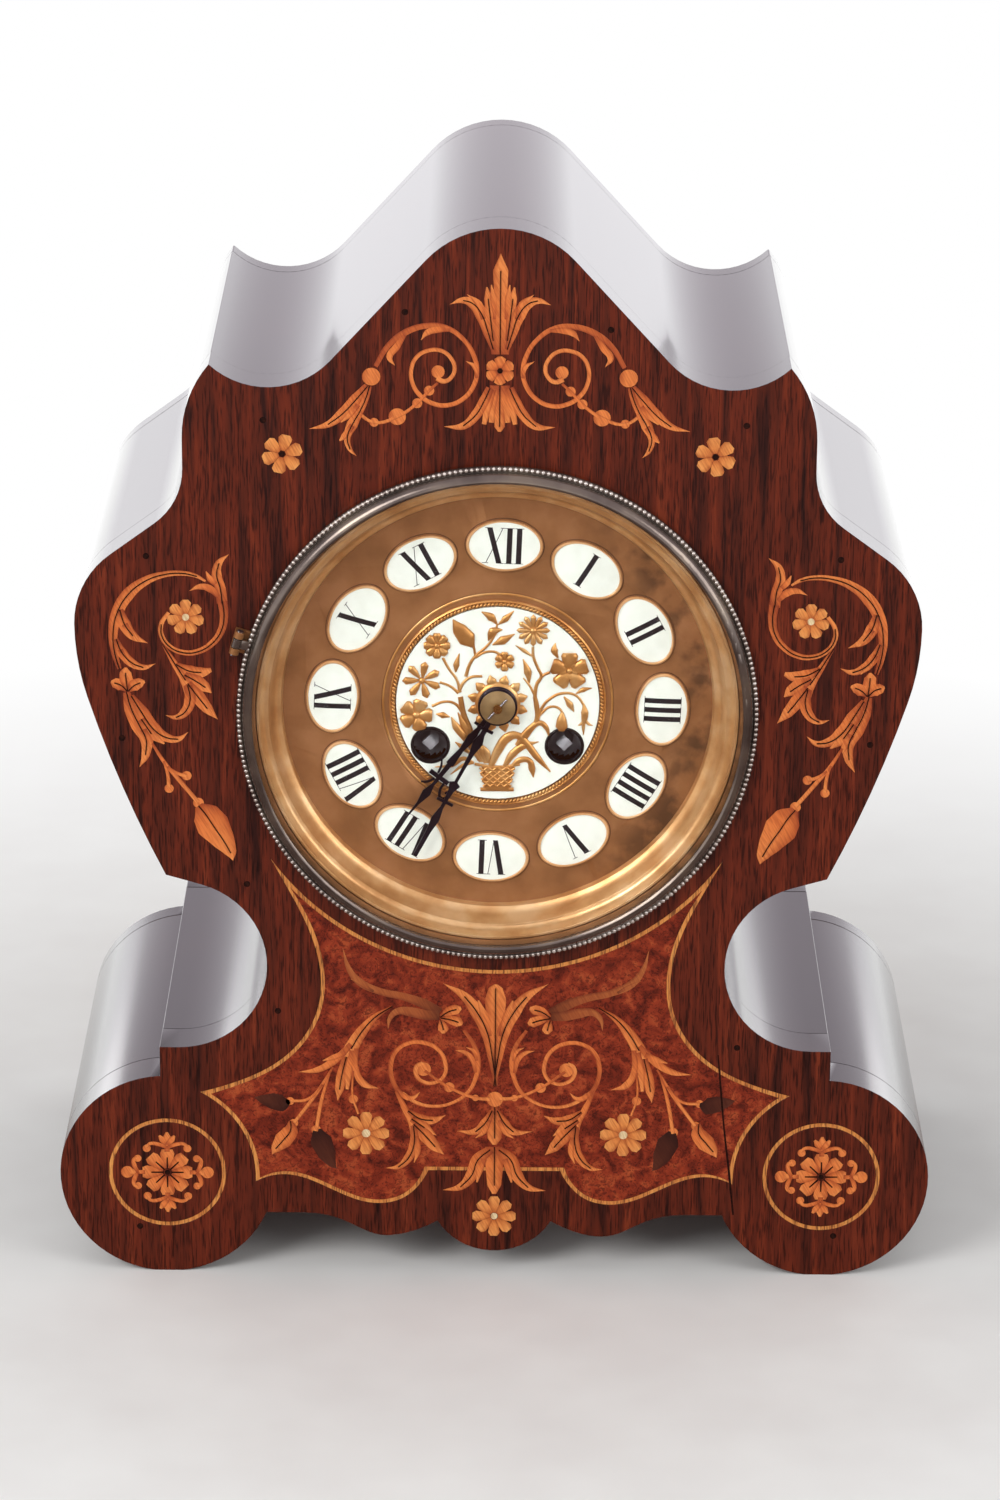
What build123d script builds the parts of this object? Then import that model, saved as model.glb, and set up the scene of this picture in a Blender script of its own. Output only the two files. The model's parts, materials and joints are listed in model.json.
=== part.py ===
"""Marquetry mantel clock with an eight-day striking movement. Sizes in mm, front toward -Y, up is +Z."""
import os
from math import acos, asin, atan2, cos, degrees, hypot, pi, radians, sin, sqrt, tan

from build123d import *

os.makedirs("parts", exist_ok=True)

# Case
case_depth = 158.0
front_thick = 16.0
back_thick = 9.0
shell_thick = 10.0
bezel_proud = 6.3
door_proud = 8.6
front_y = bezel_proud - (bezel_proud + case_depth + door_proud) / 2
dial_height = 206.4

# Crest outline
crest_top = 372.7
crest_radius = 33.0
crest_slope = 47.4
hollow_x = 76.0
hollow_radius = 27.7
hollow_end_turn = 313.5

# Shoulder outline
shoulder_neck_x = 104.2
shoulder_neck_z = 301.6
shoulder_cove_x = 127.5
shoulder_cove_z = 291.0
shoulder_cove_radius = 23.3
shoulder_fall = 36.0
shoulder_wide_x = 140.85
shoulder_wide_z = 237.0
shoulder_round = 30.2
flank_radius = 87.0
flank_turn = 17.0
flank_foot = (111.8, 147.8)

# Waist hollow and scroll feet
waist_x = 108.5
waist_z = 115.0
waist_radius = 30.6
step_x = 115.0
scroll_x = 113.0
scroll_z = 36.7
scroll_radius = 37.0
scroll_top = scroll_z + scroll_radius

# Scalloped skirt and base board
skirt_z = 22.4
skirt_flat_x = 66.0
skirt_low = (39.5, 14.1)
skirt_cusp = (19.6, 19.7)
skirt_drop_z = 8.35
base_low = 26.0
base_high = 34.0
wood_gap = 0.05

# Inlay
inlay_depth = 0.8
string_width = 1.3
panel_arc_radius = 92.6
panel_tip_turn = 325.5
panel_tip_fall = 5.7
panel_side = (
    (66.6, 135.3, -0.89, 0.45),
    (60.0, 115.2, -0.99, 0.14),
    (61.3, 97.1, -0.97, -0.22),
    (73.1, 80.3, -0.66, -0.75),
    (86.2, 72.7, -0.34, -0.94),
)
panel_low_x = 118.4
panel_low_z = 36.1
panel_low_radius = 36.0
panel_point_turn = 118.5
panel_point_fall = 4.1
panel_corner_z = 34.2
panel_wave = (
    (66.5, 36.0, 0.1, 1.0),
    (52.5, 29.6, -0.4, 0.9),
    (41.5, 26.3, 0.0, 1.0),
    (31.4, 28.4, 0.4, 0.9),
    (25.8, 33.6, 0.8, 0.6),
    (22.8, 38.9, 1.0, 1.0),
)
roundel_z = 37.4
roundel_radius = 19.6

# Front ring, bezel and glass
sleeve_radius = 82.0
sleeve_gap = 0.3
sleeve_wall = 1.2
flange_thick = 1.2
flange_radius = 85.6
sleeve_end = 17.0
pan_front = 13.2
pan_thick = 1.5
pan_bore = 50.0
bezel_back = -1.5
bezel_radius = 87.0
bezel_bore = 81.9
bead_radius = 86.2
bead_size = 0.9
bead_depth = -2.9
glass_seat = 83.9
glass_front = -4.6
glass_thick = 2.0
glass_bevel = 4.5
glass_gap = 0.1
glass_back = glass_front + glass_gap + glass_thick
glass_lip = 82.4

# Hinges
hinge_angle = 163.4
hinge_radius = 90.4
door_hinge_radius = 71.6
knuckle_radius = 1.6
hinge_height = 4.2
knuckle_length = 2.2
knuckle_middle = 3.0
knuckle_gap = 0.3
hinge_pin_radius = 0.75
hinge_fit = 0.05
pin_head = 0.5
pin_head_radius = 1.1
pin_fit = 0.02

# Dial
dial_front = 12.0
dial_thick = 1.2
dial_radius = 80.2
dial_turn = -2.0
dial_hole = 3.9
hour_ring = 55.3
plaque_long = 12.0
plaque_short = 8.3
plaque_rim = 1.0
rim_height = 0.6
plaque_pocket = 0.8
plaque_crown = 0.7
groove_radius = 38.5
centre_radius = 34.0
centre_thick = 0.8
border_radius = 34.6
border_size = 0.8
collar_radius = 6.6
collar_front = 9.8
grommet_radius = 6.7
grommet_bore = 5.6
foot_ring = 42.0
foot_angles = (30.0, 150.0, 300.0)
foot_radius = 1.6
foot_shoulder = 2.4

# Movement frame
plate_front = 24.0
plate_thick = 2.5
plate_gap = 26.0
plate_radius = 49.0
pillar_ring = 45.0
pillar_angles = (8.0, 50.0, 172.0, 270.0)
pillar_radius = 2.8
screw_radius = 1.25
screw_head = 2.3
running_fit = 0.05
end_shake = 0.3
inner_front = plate_front + plate_thick
inner_back = inner_front + plate_gap
rear_face = inner_back + plate_thick

# Trains: teeth and modules
great_teeth = 84
great_module = 0.5
second_leaves = 14
mid_teeth = 78
mid_module = 0.44
centre_leaves = 12
centre_teeth = 80
centre_module = 0.42
third_leaves = 8
third_teeth = 84
third_module = 0.36
escape_leaves = 7
escape_teeth = 42
escape_radius = 9.0
cannon_leaves = 12
minute_teeth = 36
minute_module = 0.5
minute_leaves = 10
hour_teeth = 40
hour_module = 0.48
strike_teeth = 70
strike_module = 0.38
pin_leaves = 10
pin_teeth = 60
pin_module = 0.36
warning_leaves = 8
warning_teeth = 54
warning_module = 0.34
fly_leaves = 7

# Tooth form, in modules
wheel_tooth = 1.45
pinion_leaf = 1.1
wheel_tip = 0.95
pinion_root = 1.35
wheel_root = 0.95


def circle_meet(a, ra, b, rb, side):
    """Point at given distances from two points, on the left (1) or right (-1) of the line between them."""
    span = hypot(b[0] - a[0], b[1] - a[1])
    along = (ra * ra - rb * rb + span * span) / (2 * span)
    off = side * sqrt(ra * ra - along * along)
    ux = (b[0] - a[0]) / span
    uz = (b[1] - a[1]) / span
    return (a[0] + along * ux - off * uz, a[1] + along * uz + off * ux)


def step_from(a, distance, angle):
    """Point at a distance and an angle from another point."""
    return (a[0] + distance * cos(radians(angle)), a[1] + distance * sin(radians(angle)))


def pitch_sum(teeth, leaves, module):
    """Distance between the centres of a wheel and a pinion."""
    return (teeth + leaves) * module / 2


# Arbor positions from the dial centre
winding_x = 22.5
winding_z = -15.0
centre_at = (0.0, 0.0)
going_at = (winding_x, winding_z)
strike_at = (-winding_x, winding_z)
great_distance = pitch_sum(great_teeth, second_leaves, great_module)
mid_distance = pitch_sum(mid_teeth, centre_leaves, mid_module)
mid_at = circle_meet(centre_at, mid_distance, going_at, great_distance, 1)
third_angle = 125.0
third_at = step_from(centre_at, pitch_sum(centre_teeth, third_leaves, centre_module), third_angle)
escape_distance = pitch_sum(third_teeth, escape_leaves, third_module)
escape_at = (0.0, third_at[1] + sqrt(escape_distance**2 - third_at[0] ** 2))
anchor_rise = 13.5
anchor_at = (0.0, escape_at[1] + anchor_rise)
minute_at = (0.0, pitch_sum(minute_teeth, cannon_leaves, minute_module))
second_angle = 100.0
second_at = step_from(strike_at, great_distance, second_angle)
pin_angle = 110.0
pin_at = step_from(second_at, pitch_sum(strike_teeth, pin_leaves, strike_module), pin_angle)
warning_angle = 35.0
warning_at = step_from(pin_at, pitch_sum(pin_teeth, warning_leaves, pin_module), warning_angle)
fly_angle = 45.0
fly_at = step_from(warning_at, pitch_sum(warning_teeth, fly_leaves, warning_module), fly_angle)
hammer_at = step_from(centre_at, 46.0, 160.0)

# Depths of the wheels behind the case front
barrel_front = 31.0
barrel_back = 45.5
great_thick = 2.5
barrel_radius = 19.8
barrel_wall = 0.9
barrel_lid = 1.0
barrel_arbor = 3.0
core_radius = 6.0
wheel_thick = 1.2
third_depth = 27.6
centre_depth = 46.6
mid_depth = 49.2
escape_depth = 40.0
pin_depth = 38.0
warning_depth = 33.5
cannon_depth = 20.0
minute_depth = 20.6
hour_depth = 17.2
ratchet_depth = 21.8
ratchet_radius = 7.5
ratchet_teeth = 24
square_front = 14.0
square_size = 4.0
count_depth = 57.0
count_radius = 15.0
pin_ring = 8.5
pin_count = 10
lift_pin = 0.5

# Hands
hour_hand_depth = 8.6
minute_hand_depth = 6.9
hand_thick = 0.7
arbor_tip = 4.7
arbor_radius = 1.5
arbor_shoulder = plate_front - 0.4
hour_pipe = 3.3
hour_shoulder = 3.6
cannon_pipe = 2.3
hand_seat = 1.9
hour_angle = 217.3
minute_angle = 207.4
hour_length = 50.0
minute_length = 60.0
boss_radius = 6.6
washer_radius = 5.9

# Pendulum
cock_front = 58.0
pendulum_depth = 63.0
pendulum_length = 126.8
swing_clear = 0.75
bob_radius = 21.0
bob_half = 5.0
rod_radius = 1.1

# Bell and rear
bell_radius = 40.0
bell_wall = 1.6
bell_mouth = 69.0
bell_crown = 92.0
stand_at = (12.0, -20.0)
bell_flat = 5.0
stand_reach = 78.0
back_bore = 64.0
back_sleeve = 63.6
back_ring_radius = 70.0
back_sleeve_start = 145.0
strap_ring = 57.0
strap_angles = (20.0, 200.0)
strap_width = 12.0
strap_thick = 1.8
door_radius = 68.6
door_lift = 0.3
door_thick = 1.2
door_dish = 2.4
dish_radius = 52.0
knob_ring = 61.0


def board_plane(depth):
    """Plane facing the viewer at a depth behind the case front, with its origin at the foot of the clock."""
    return Plane(origin=(0, front_y + depth, 0), x_dir=(1, 0, 0), z_dir=(0, -1, 0))


def dial_plane(depth, at=(0.0, 0.0)):
    """Plane facing the viewer at a depth, with its origin at a point given from the dial centre."""
    return Plane(origin=(at[0], front_y + depth, dial_height + at[1]), x_dir=(1, 0, 0), z_dir=(0, -1, 0))


def on_circle(x, z, radius, angle):
    """Point on a circle."""
    return (x + radius * cos(radians(angle)), z + radius * sin(radians(angle)))


def arc_on(x, z, radius, start, end):
    """Arc on a circle between two angles."""
    middle = (start + end) / 2
    return ThreePointArc(
        on_circle(x, z, radius, start),
        on_circle(x, z, radius, middle),
        on_circle(x, z, radius, end),
    )


def turned(points, at=(0.0, 0.0)):
    """Turned piece from a profile of radius and depth, on an axis given from the dial centre."""
    with BuildPart() as piece:
        with BuildSketch(Plane(origin=(at[0], front_y, dial_height + at[1]))):
            with BuildLine():
                Polyline(points, close=True)
            make_face()
        revolve(axis=Axis((at[0], front_y, dial_height + at[1]), (0, 1, 0)))
    return piece.part


def rod(radius, start, end, at=(0.0, 0.0)):
    """Round rod along the depth of the clock."""
    with BuildPart() as piece:
        with BuildSketch(dial_plane(start, at)):
            Circle(radius)
        extrude(amount=start - end)
    return piece.part


def cycloid_turn(pitch, roll, reach):
    """Angle by which a wheel tooth's rounded flank has turned in at a given reach from the centre."""
    roll_angle = acos(((pitch + roll) ** 2 + roll**2 - reach**2) / (2 * (pitch + roll) * roll))
    base_angle = roll_angle * roll / pitch
    x = (pitch + roll) * cos(base_angle) - roll * cos(base_angle + roll_angle)
    y = (pitch + roll) * sin(base_angle) - roll * sin(base_angle + roll_angle)
    return atan2(y, x)


def wheel_points(teeth, module, leaves, phase):
    """Outline of a cycloidal wheel that works with a pinion of the given leaves."""
    pitch = teeth * module / 2
    roll = leaves * module / 4
    half = wheel_tooth * module / 2 / pitch
    shape = [(pitch - wheel_root * module, half), (pitch, half)]
    for share in (0.55, 1.0):
        reach = pitch + share * wheel_tip * module
        shape.append((reach, half - cycloid_turn(pitch, roll, reach)))
    points = []
    for tooth in range(teeth):
        middle = phase + 2 * pi * tooth / teeth
        points += [(r * cos(middle - a), r * sin(middle - a)) for r, a in shape]
        points += [(r * cos(middle + a), r * sin(middle + a)) for r, a in reversed(shape)]
    return points


def pinion_points(leaves, module, phase):
    """Outline of a pinion with radial flanks and rounded tips."""
    pitch = leaves * module / 2
    half = pinion_leaf * module / 2 / pitch
    root = pitch - pinion_root * module
    rise = pinion_leaf * module / 2
    shape = [(root, half), (pitch, half), (pitch + 0.6 * rise, 0.72 * half), (pitch + rise, 0.2 * half)]
    points = []
    for leaf in range(leaves):
        middle = phase + 2 * pi * leaf / leaves
        points += [(r * cos(middle - a), r * sin(middle - a)) for r, a in shape]
        points += [(r * cos(middle + a), r * sin(middle + a)) for r, a in reversed(shape)]
    return points


def mesh_phase(start, end, phase, teeth, other_teeth):
    """Turn of the second gear that puts its gap on the first gear's tooth, on the line between centres."""
    line = atan2(end[1] - start[1], end[0] - start[0])
    lead = (phase - line) * teeth / other_teeth
    return line + pi - lead + pi / other_teeth


def toothed(points, depth, thick, at):
    """Toothed disc from an outline."""
    with BuildPart() as piece:
        with BuildSketch(dial_plane(depth, at)):
            with BuildLine():
                Polyline(points, close=True)
            make_face()
        extrude(amount=-thick)
    return piece.part


def crossed_wheel(points, rim, hub, spokes, depth, at):
    """Toothed wheel with its crossings cut out."""
    with BuildPart() as piece:
        add(toothed(points, depth, wheel_thick, at))
        with BuildSketch(dial_plane(depth, at)):
            Circle(rim)
            Circle(hub, mode=Mode.SUBTRACT)
            with PolarLocations(0, spokes):
                Rectangle(2 * rim, rim * 0.14, align=(Align.MIN, Align.CENTER), mode=Mode.SUBTRACT)
        extrude(amount=-wheel_thick, mode=Mode.SUBTRACT)
    return piece.part


def arbor(at, body, pivot, rear=inner_back + plate_thick):
    """Steel arbor that runs in both plates."""
    first = inner_front + end_shake
    last = inner_back - end_shake
    profile = [(0, plate_front), (pivot, plate_front), (pivot, first), (body, first)]
    profile += [(body, last), (pivot, last), (pivot, rear), (0, rear)]
    return turned(profile, at)


def wheel_mobile(at, body, pivot, wheel, rim, hub, depth, pinion, pinion_depth, pinion_long, rear=rear_face):
    """A wheel and its pinion on one arbor."""
    with BuildPart() as piece:
        add(arbor(at, body, pivot, rear))
        add(crossed_wheel(wheel, rim, hub, 5, depth, at))
        add(rod(hub, depth - 0.6, depth + wheel_thick + 0.6, at))
        add(toothed(pinion, pinion_depth, pinion_long, at))
    return piece.part


# Right half of the case outline above the scroll feet
crest_z = crest_top - crest_radius
slope_turn = radians(crest_slope)
slope_run = hollow_x - (crest_radius + hollow_radius) * sin(slope_turn)
hollow_z = crest_z + (crest_radius + hollow_radius) * cos(slope_turn) - slope_run * tan(slope_turn)
crest_corner = on_circle(hollow_x, hollow_z, hollow_radius, hollow_end_turn)
neck_width = shoulder_neck_x - crest_corner[0]
neck_height = crest_corner[1] - shoulder_neck_z
neck_radius = (neck_width**2 + neck_height**2) / (2 * neck_width)
neck_x = shoulder_neck_x - neck_radius
neck_turn = degrees(atan2(neck_height, crest_corner[0] - neck_x))
round_x = shoulder_wide_x - shoulder_round
flank_x = shoulder_wide_x - flank_radius
flank_end = on_circle(flank_x, shoulder_wide_z, flank_radius, -flank_turn)
flank_in = (-cos(radians(flank_turn)), sin(radians(flank_turn)))
flank_span = (flank_foot[0] - flank_end[0], flank_foot[1] - flank_end[1])
lower_radius = hypot(*flank_span) ** 2 / 2 / (flank_span[0] * flank_in[0] + flank_span[1] * flank_in[1])
lower_x = flank_end[0] + lower_radius * flank_in[0]
lower_z = flank_end[1] + lower_radius * flank_in[1]
lower_turn = degrees(atan2(flank_foot[1] - lower_z, flank_foot[0] - lower_x))
lip_reach = hypot(flank_foot[0] - waist_x, flank_foot[1] - waist_z)
lip_turn = degrees(atan2(flank_foot[1] - waist_z, flank_foot[0] - waist_x))
waist_start = lip_turn + degrees(acos(waist_radius / lip_reach))
lip_up = (cos(radians(waist_start - 180)), sin(radians(waist_start - 180)))
step_high = waist_z - waist_radius
step_low = scroll_z + sqrt(scroll_radius**2 - (step_x - scroll_x) ** 2)
scroll_flat = sqrt(scroll_radius**2 - scroll_z**2)
scroll_start_turn = degrees(atan2(step_low - scroll_z, step_x - scroll_x))
scroll_flat_turn = degrees(atan2(scroll_flat, scroll_z))
scroll_in_turn = 180 + degrees(atan2(scroll_z - skirt_z, sqrt(scroll_radius**2 - (scroll_z - skirt_z) ** 2)))
scroll_in = on_circle(scroll_x, scroll_z, scroll_radius, scroll_in_turn)


def crest_half(inset):
    """Right half of the crest, from the top to its outer corner."""
    arc_on(0, crest_z, crest_radius - inset, 90, 90 - crest_slope)
    Line(
        on_circle(0, crest_z, crest_radius - inset, 90 - crest_slope),
        on_circle(hollow_x, hollow_z, hollow_radius + inset, 270 - crest_slope),
    )
    arc_on(hollow_x, hollow_z, hollow_radius + inset, 270 - crest_slope, hollow_end_turn)


def shoulder_half(inset):
    """Right shoulder, from the crest corner down to the corner above the waist."""
    cove = shoulder_cove_radius + inset
    bulge = shoulder_round - inset
    arc_on(neck_x, shoulder_neck_z, neck_radius - inset, neck_turn, 0)
    Line((shoulder_neck_x - inset, shoulder_neck_z), (shoulder_cove_x - cove, shoulder_cove_z))
    arc_on(shoulder_cove_x, shoulder_cove_z, cove, 180, 270 - shoulder_fall)
    Line(
        on_circle(shoulder_cove_x, shoulder_cove_z, cove, 270 - shoulder_fall),
        on_circle(round_x, shoulder_wide_z, bulge, 90 - shoulder_fall),
    )
    arc_on(round_x, shoulder_wide_z, bulge, 90 - shoulder_fall, 0)
    arc_on(flank_x, shoulder_wide_z, flank_radius - inset, 0, -flank_turn)
    arc_on(lower_x, lower_z, lower_radius - inset, -flank_turn, lower_turn)


def waist_half(inset):
    """Right waist hollow, from the corner above it to the top of the scroll."""
    Line(
        (flank_foot[0] - inset * lip_up[0], flank_foot[1] - inset * lip_up[1]),
        on_circle(waist_x, waist_z, waist_radius + inset, waist_start),
    )
    arc_on(waist_x, waist_z, waist_radius + inset, waist_start, 270)


def upper_half():
    """Right half of the whole outline above the scroll foot."""
    crest_half(0)
    shoulder_half(0)
    waist_half(0)
    Polyline((waist_x, step_high), (step_x, step_high), (step_x, step_low))


def scroll_half():
    """Right scroll foot, down to the floor and up to the skirt."""
    arc_on(scroll_x, scroll_z, scroll_radius, scroll_start_turn, scroll_flat_turn - 90)
    Line((scroll_x + scroll_flat, 0), (scroll_x - scroll_flat, 0))
    arc_on(scroll_x, scroll_z, scroll_radius, 270 - scroll_flat_turn, scroll_in_turn)


# Front outline with its scalloped skirt
drop_height = skirt_cusp[1] - skirt_drop_z
drop_radius = (skirt_cusp[0] ** 2 + drop_height**2) / (2 * drop_height)
drop_turn = degrees(atan2(skirt_cusp[1] - skirt_drop_z - drop_radius, skirt_cusp[0]))
with BuildSketch() as front_outline:
    with BuildLine():
        upper_half()
        scroll_half()
        Line(scroll_in, (skirt_flat_x, skirt_z))
        Spline((skirt_flat_x, skirt_z), skirt_low, skirt_cusp, tangents=[(-1, 0), (-1, 0.62)])
        arc_on(0, skirt_drop_z + drop_radius, drop_radius, drop_turn, -90)
        mirror(about=Plane.YZ)
    make_face()

# Back outline with a straight lower edge
with BuildSketch() as back_outline:
    with BuildLine():
        upper_half()
        scroll_half()
        Line(scroll_in, (0, skirt_z))
        mirror(about=Plane.YZ)
    make_face()

# Seams between the shells, as lines through an outer and an inner corner
crest_seam = ((99.2, 340.0), (88.4, 304.8))
flank_seam = ((118.0, 140.6), (100.0, 161.5))

def panel_half(inset):
    """Right half of the burr panel's edge: under the dial, along the waist, round the scroll and below."""
    top = panel_arc_radius + inset
    low = panel_low_radius + inset
    tip_turn = panel_tip_turn - panel_tip_fall * inset
    point_turn = panel_point_turn + panel_point_fall * inset
    corner_turn = 180 + degrees(asin((panel_low_z - panel_corner_z - inset) / low))
    tip = on_circle(0, dial_height, top, tip_turn)
    point = on_circle(panel_low_x, panel_low_z, low, point_turn)
    side = [(x + inset * nx, z + inset * nz) for x, z, nx, nz in panel_side]
    wave = [(x + inset * nx, z + inset * nz) for x, z, nx, nz in panel_wave]
    arc_on(0, dial_height, top, 270, tip_turn)
    Spline(tip, *side, point)
    arc_on(panel_low_x, panel_low_z, low, point_turn, corner_turn)
    Spline(on_circle(panel_low_x, panel_low_z, low, corner_turn), *wave)
    Line(wave[-1], (0, wave[-1][1]))


with BuildSketch() as panel_outline:
    with BuildLine():
        panel_half(0)
        mirror(about=Plane.YZ)
    make_face()

with BuildSketch() as panel_inside:
    with BuildLine():
        panel_half(string_width)
        mirror(about=Plane.YZ)
    make_face()

# Front board with the dial hole and the inlay recesses
with BuildPart() as front_board:
    with BuildSketch(board_plane(0)):
        add(front_outline.sketch)
    extrude(amount=-front_thick)
    with BuildSketch(dial_plane(0)):
        Circle(sleeve_radius + sleeve_gap)
    extrude(amount=-front_thick, mode=Mode.SUBTRACT)
    with BuildSketch(board_plane(0)):
        add(panel_outline.sketch)
        with Locations((-scroll_x, roundel_z), (scroll_x, roundel_z)):
            Circle(roundel_radius + string_width / 2)
            Circle(roundel_radius - string_width / 2, mode=Mode.SUBTRACT)
    extrude(amount=-inlay_depth, mode=Mode.SUBTRACT)

# Burr veneer panel of the apron
with BuildPart() as burr_panel:
    with BuildSketch(board_plane(0)):
        add(panel_inside.sketch)
    extrude(amount=-inlay_depth)

# Boxwood stringing round the panel and the two roundels
with BuildPart() as boxwood_stringing:
    with BuildSketch(board_plane(0)):
        add(panel_outline.sketch)
        add(panel_inside.sketch, mode=Mode.SUBTRACT)
    extrude(amount=-inlay_depth)
    with BuildSketch(board_plane(0)):
        with Locations((-scroll_x, roundel_z), (scroll_x, roundel_z)):
            Circle(roundel_radius + string_width / 2)
            Circle(roundel_radius - string_width / 2, mode=Mode.SUBTRACT)
    extrude(amount=-inlay_depth)

# Back board with the movement hole
with BuildPart() as back_board:
    with BuildSketch(board_plane(case_depth - back_thick)):
        add(back_outline.sketch)
    extrude(amount=-back_thick)
    with BuildSketch(dial_plane(case_depth - back_thick)):
        Circle(back_bore)
    extrude(amount=-back_thick, mode=Mode.SUBTRACT)

shell_long = case_depth - front_thick - back_thick

# Crest shell
with BuildPart() as crest_shell:
    with BuildSketch(board_plane(front_thick)):
        with BuildLine():
            crest_half(0)
            crest_half(shell_thick)
            Line(crest_corner, on_circle(hollow_x, hollow_z, hollow_radius + shell_thick, hollow_end_turn))
            mirror(about=Plane.YZ)
        make_face()
        with BuildLine():
            Polyline(crest_seam[1], crest_seam[0], (crest_seam[0][0], crest_top + 5), (0, crest_top + 5))
            Line((0, crest_seam[1][1]), crest_seam[1])
            mirror(about=Plane.YZ)
        make_face(mode=Mode.INTERSECT)
    extrude(amount=-shell_long)

# Shoulder shells
with BuildPart() as shoulder_right:
    with BuildSketch(board_plane(front_thick)):
        with BuildLine():
            shoulder_half(0)
            shoulder_half(shell_thick)
            Line(crest_corner, on_circle(neck_x, shoulder_neck_z, neck_radius - shell_thick, neck_turn))
            Line(flank_foot, on_circle(lower_x, lower_z, lower_radius - shell_thick, lower_turn))
        make_face()
        with BuildLine():
            Polyline(
                crest_seam[1],
                crest_seam[0],
                (scroll_x + scroll_radius, crest_seam[0][1]),
                (scroll_x + scroll_radius, flank_seam[0][1]),
                flank_seam[0],
                flank_seam[1],
                close=True,
            )
        make_face(mode=Mode.INTERSECT)
    extrude(amount=-shell_long)

with BuildPart() as shoulder_left:
    mirror(shoulder_right.part, about=Plane.YZ)

# Waist shells
with BuildPart() as waist_right:
    with BuildSketch(board_plane(front_thick)):
        with BuildLine():
            waist_half(0)
            waist_half(shell_thick)
            Line(
                flank_foot,
                (flank_foot[0] - shell_thick * lip_up[0], flank_foot[1] - shell_thick * lip_up[1]),
            )
            Polyline((waist_x, step_high), (step_x, step_high), (step_x, scroll_top), (waist_x, scroll_top))
            Line((waist_x, scroll_top), (waist_x, step_high - shell_thick))
        make_face()
        with BuildLine():
            Polyline(
                flank_seam[1],
                flank_seam[0],
                (scroll_x + scroll_radius, flank_seam[0][1]),
                (scroll_x + scroll_radius, scroll_z),
                (0, scroll_z),
                (0, flank_seam[1][1]),
                close=True,
            )
        make_face(mode=Mode.INTERSECT)
    extrude(amount=-shell_long)

with BuildPart() as waist_left:
    mirror(waist_right.part, about=Plane.YZ)


def scroll_foot(side):
    """Solid scroll foot with a narrow flat to stand on."""
    with BuildPart() as piece:
        with BuildSketch(board_plane(front_thick)):
            with Locations((side * scroll_x, scroll_z)):
                Circle(scroll_radius)
            with Locations((side * scroll_x, 0)):
                Rectangle(scroll_radius, scroll_radius, align=(Align.CENTER, Align.MAX), mode=Mode.SUBTRACT)
        extrude(amount=-shell_long)
    return piece.part


with BuildPart() as foot_left:
    add(scroll_foot(-1))

with BuildPart() as foot_right:
    add(scroll_foot(1))

# Base board between the feet
with BuildPart() as base_board:
    with BuildSketch(board_plane(front_thick)):
        with Locations((0, base_low)):
            Rectangle(2 * scroll_x, base_high - base_low, align=(Align.CENTER, Align.MIN))
        with Locations((-scroll_x, scroll_z), (scroll_x, scroll_z)):
            Circle(scroll_radius + wood_gap, mode=Mode.SUBTRACT)
    extrude(amount=-shell_long)


def hinge_plane(angle, radius, depth, outward):
    """Plane of a hinge: x away from the dial axis, z out of the case face."""
    way = (cos(radians(angle)), 0, sin(radians(angle)))
    place = (radius * way[0], front_y + depth, dial_height + radius * way[2])
    return Plane(origin=place, x_dir=way, z_dir=(0, outward, 0))


def barrel_along(plane, radius, low, high):
    """Cylinder along the hinge line."""
    with BuildPart() as piece:
        with BuildSketch(plane * Plane(origin=(0, low, hinge_height), x_dir=(1, 0, 0), z_dir=(0, 1, 0))):
            Circle(radius)
        extrude(amount=high - low)
    return piece.part


def block(plane, low, high):
    """Box between two corners, in a plane's own directions."""
    with BuildPart(plane) as piece:
        with Locations(tuple((a + b) / 2 for a, b in zip(low, high))):
            Box(*[b - a for a, b in zip(low, high)])
    return piece.part


knuckle_end = knuckle_middle / 2 + knuckle_gap + knuckle_length


def fixed_knuckles(plane, leaf):
    """Two outer knuckles on a leaf that lies on the case face."""
    inner = knuckle_end - knuckle_length
    with BuildPart() as piece:
        add(block(plane, (-leaf, -knuckle_end, 0), (knuckle_radius, knuckle_end, flange_thick)))
        for low, high in ((-knuckle_end, -inner), (inner, knuckle_end)):
            add(block(plane, (-knuckle_radius, low, 0), (knuckle_radius, high, hinge_height)))
            add(barrel_along(plane, knuckle_radius, low, high))
        add(barrel_along(plane, hinge_pin_radius + pin_fit, -knuckle_end, knuckle_end), mode=Mode.SUBTRACT)
    return piece.part


def moving_knuckle(plane, arm, low):
    """Middle knuckle on an arm that joins the hinged ring."""
    half = knuckle_middle / 2
    with BuildPart() as piece:
        add(block(plane, (-arm, -half, low), (0, half, hinge_height + 0.6)))
        add(barrel_along(plane, knuckle_radius, -half, half))
        add(barrel_along(plane, hinge_pin_radius + hinge_fit, -half, half), mode=Mode.SUBTRACT)
    return piece.part


bezel_hinge = hinge_plane(hinge_angle, hinge_radius, 0, -1)
sleeve_bore = sleeve_radius - sleeve_wall

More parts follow.
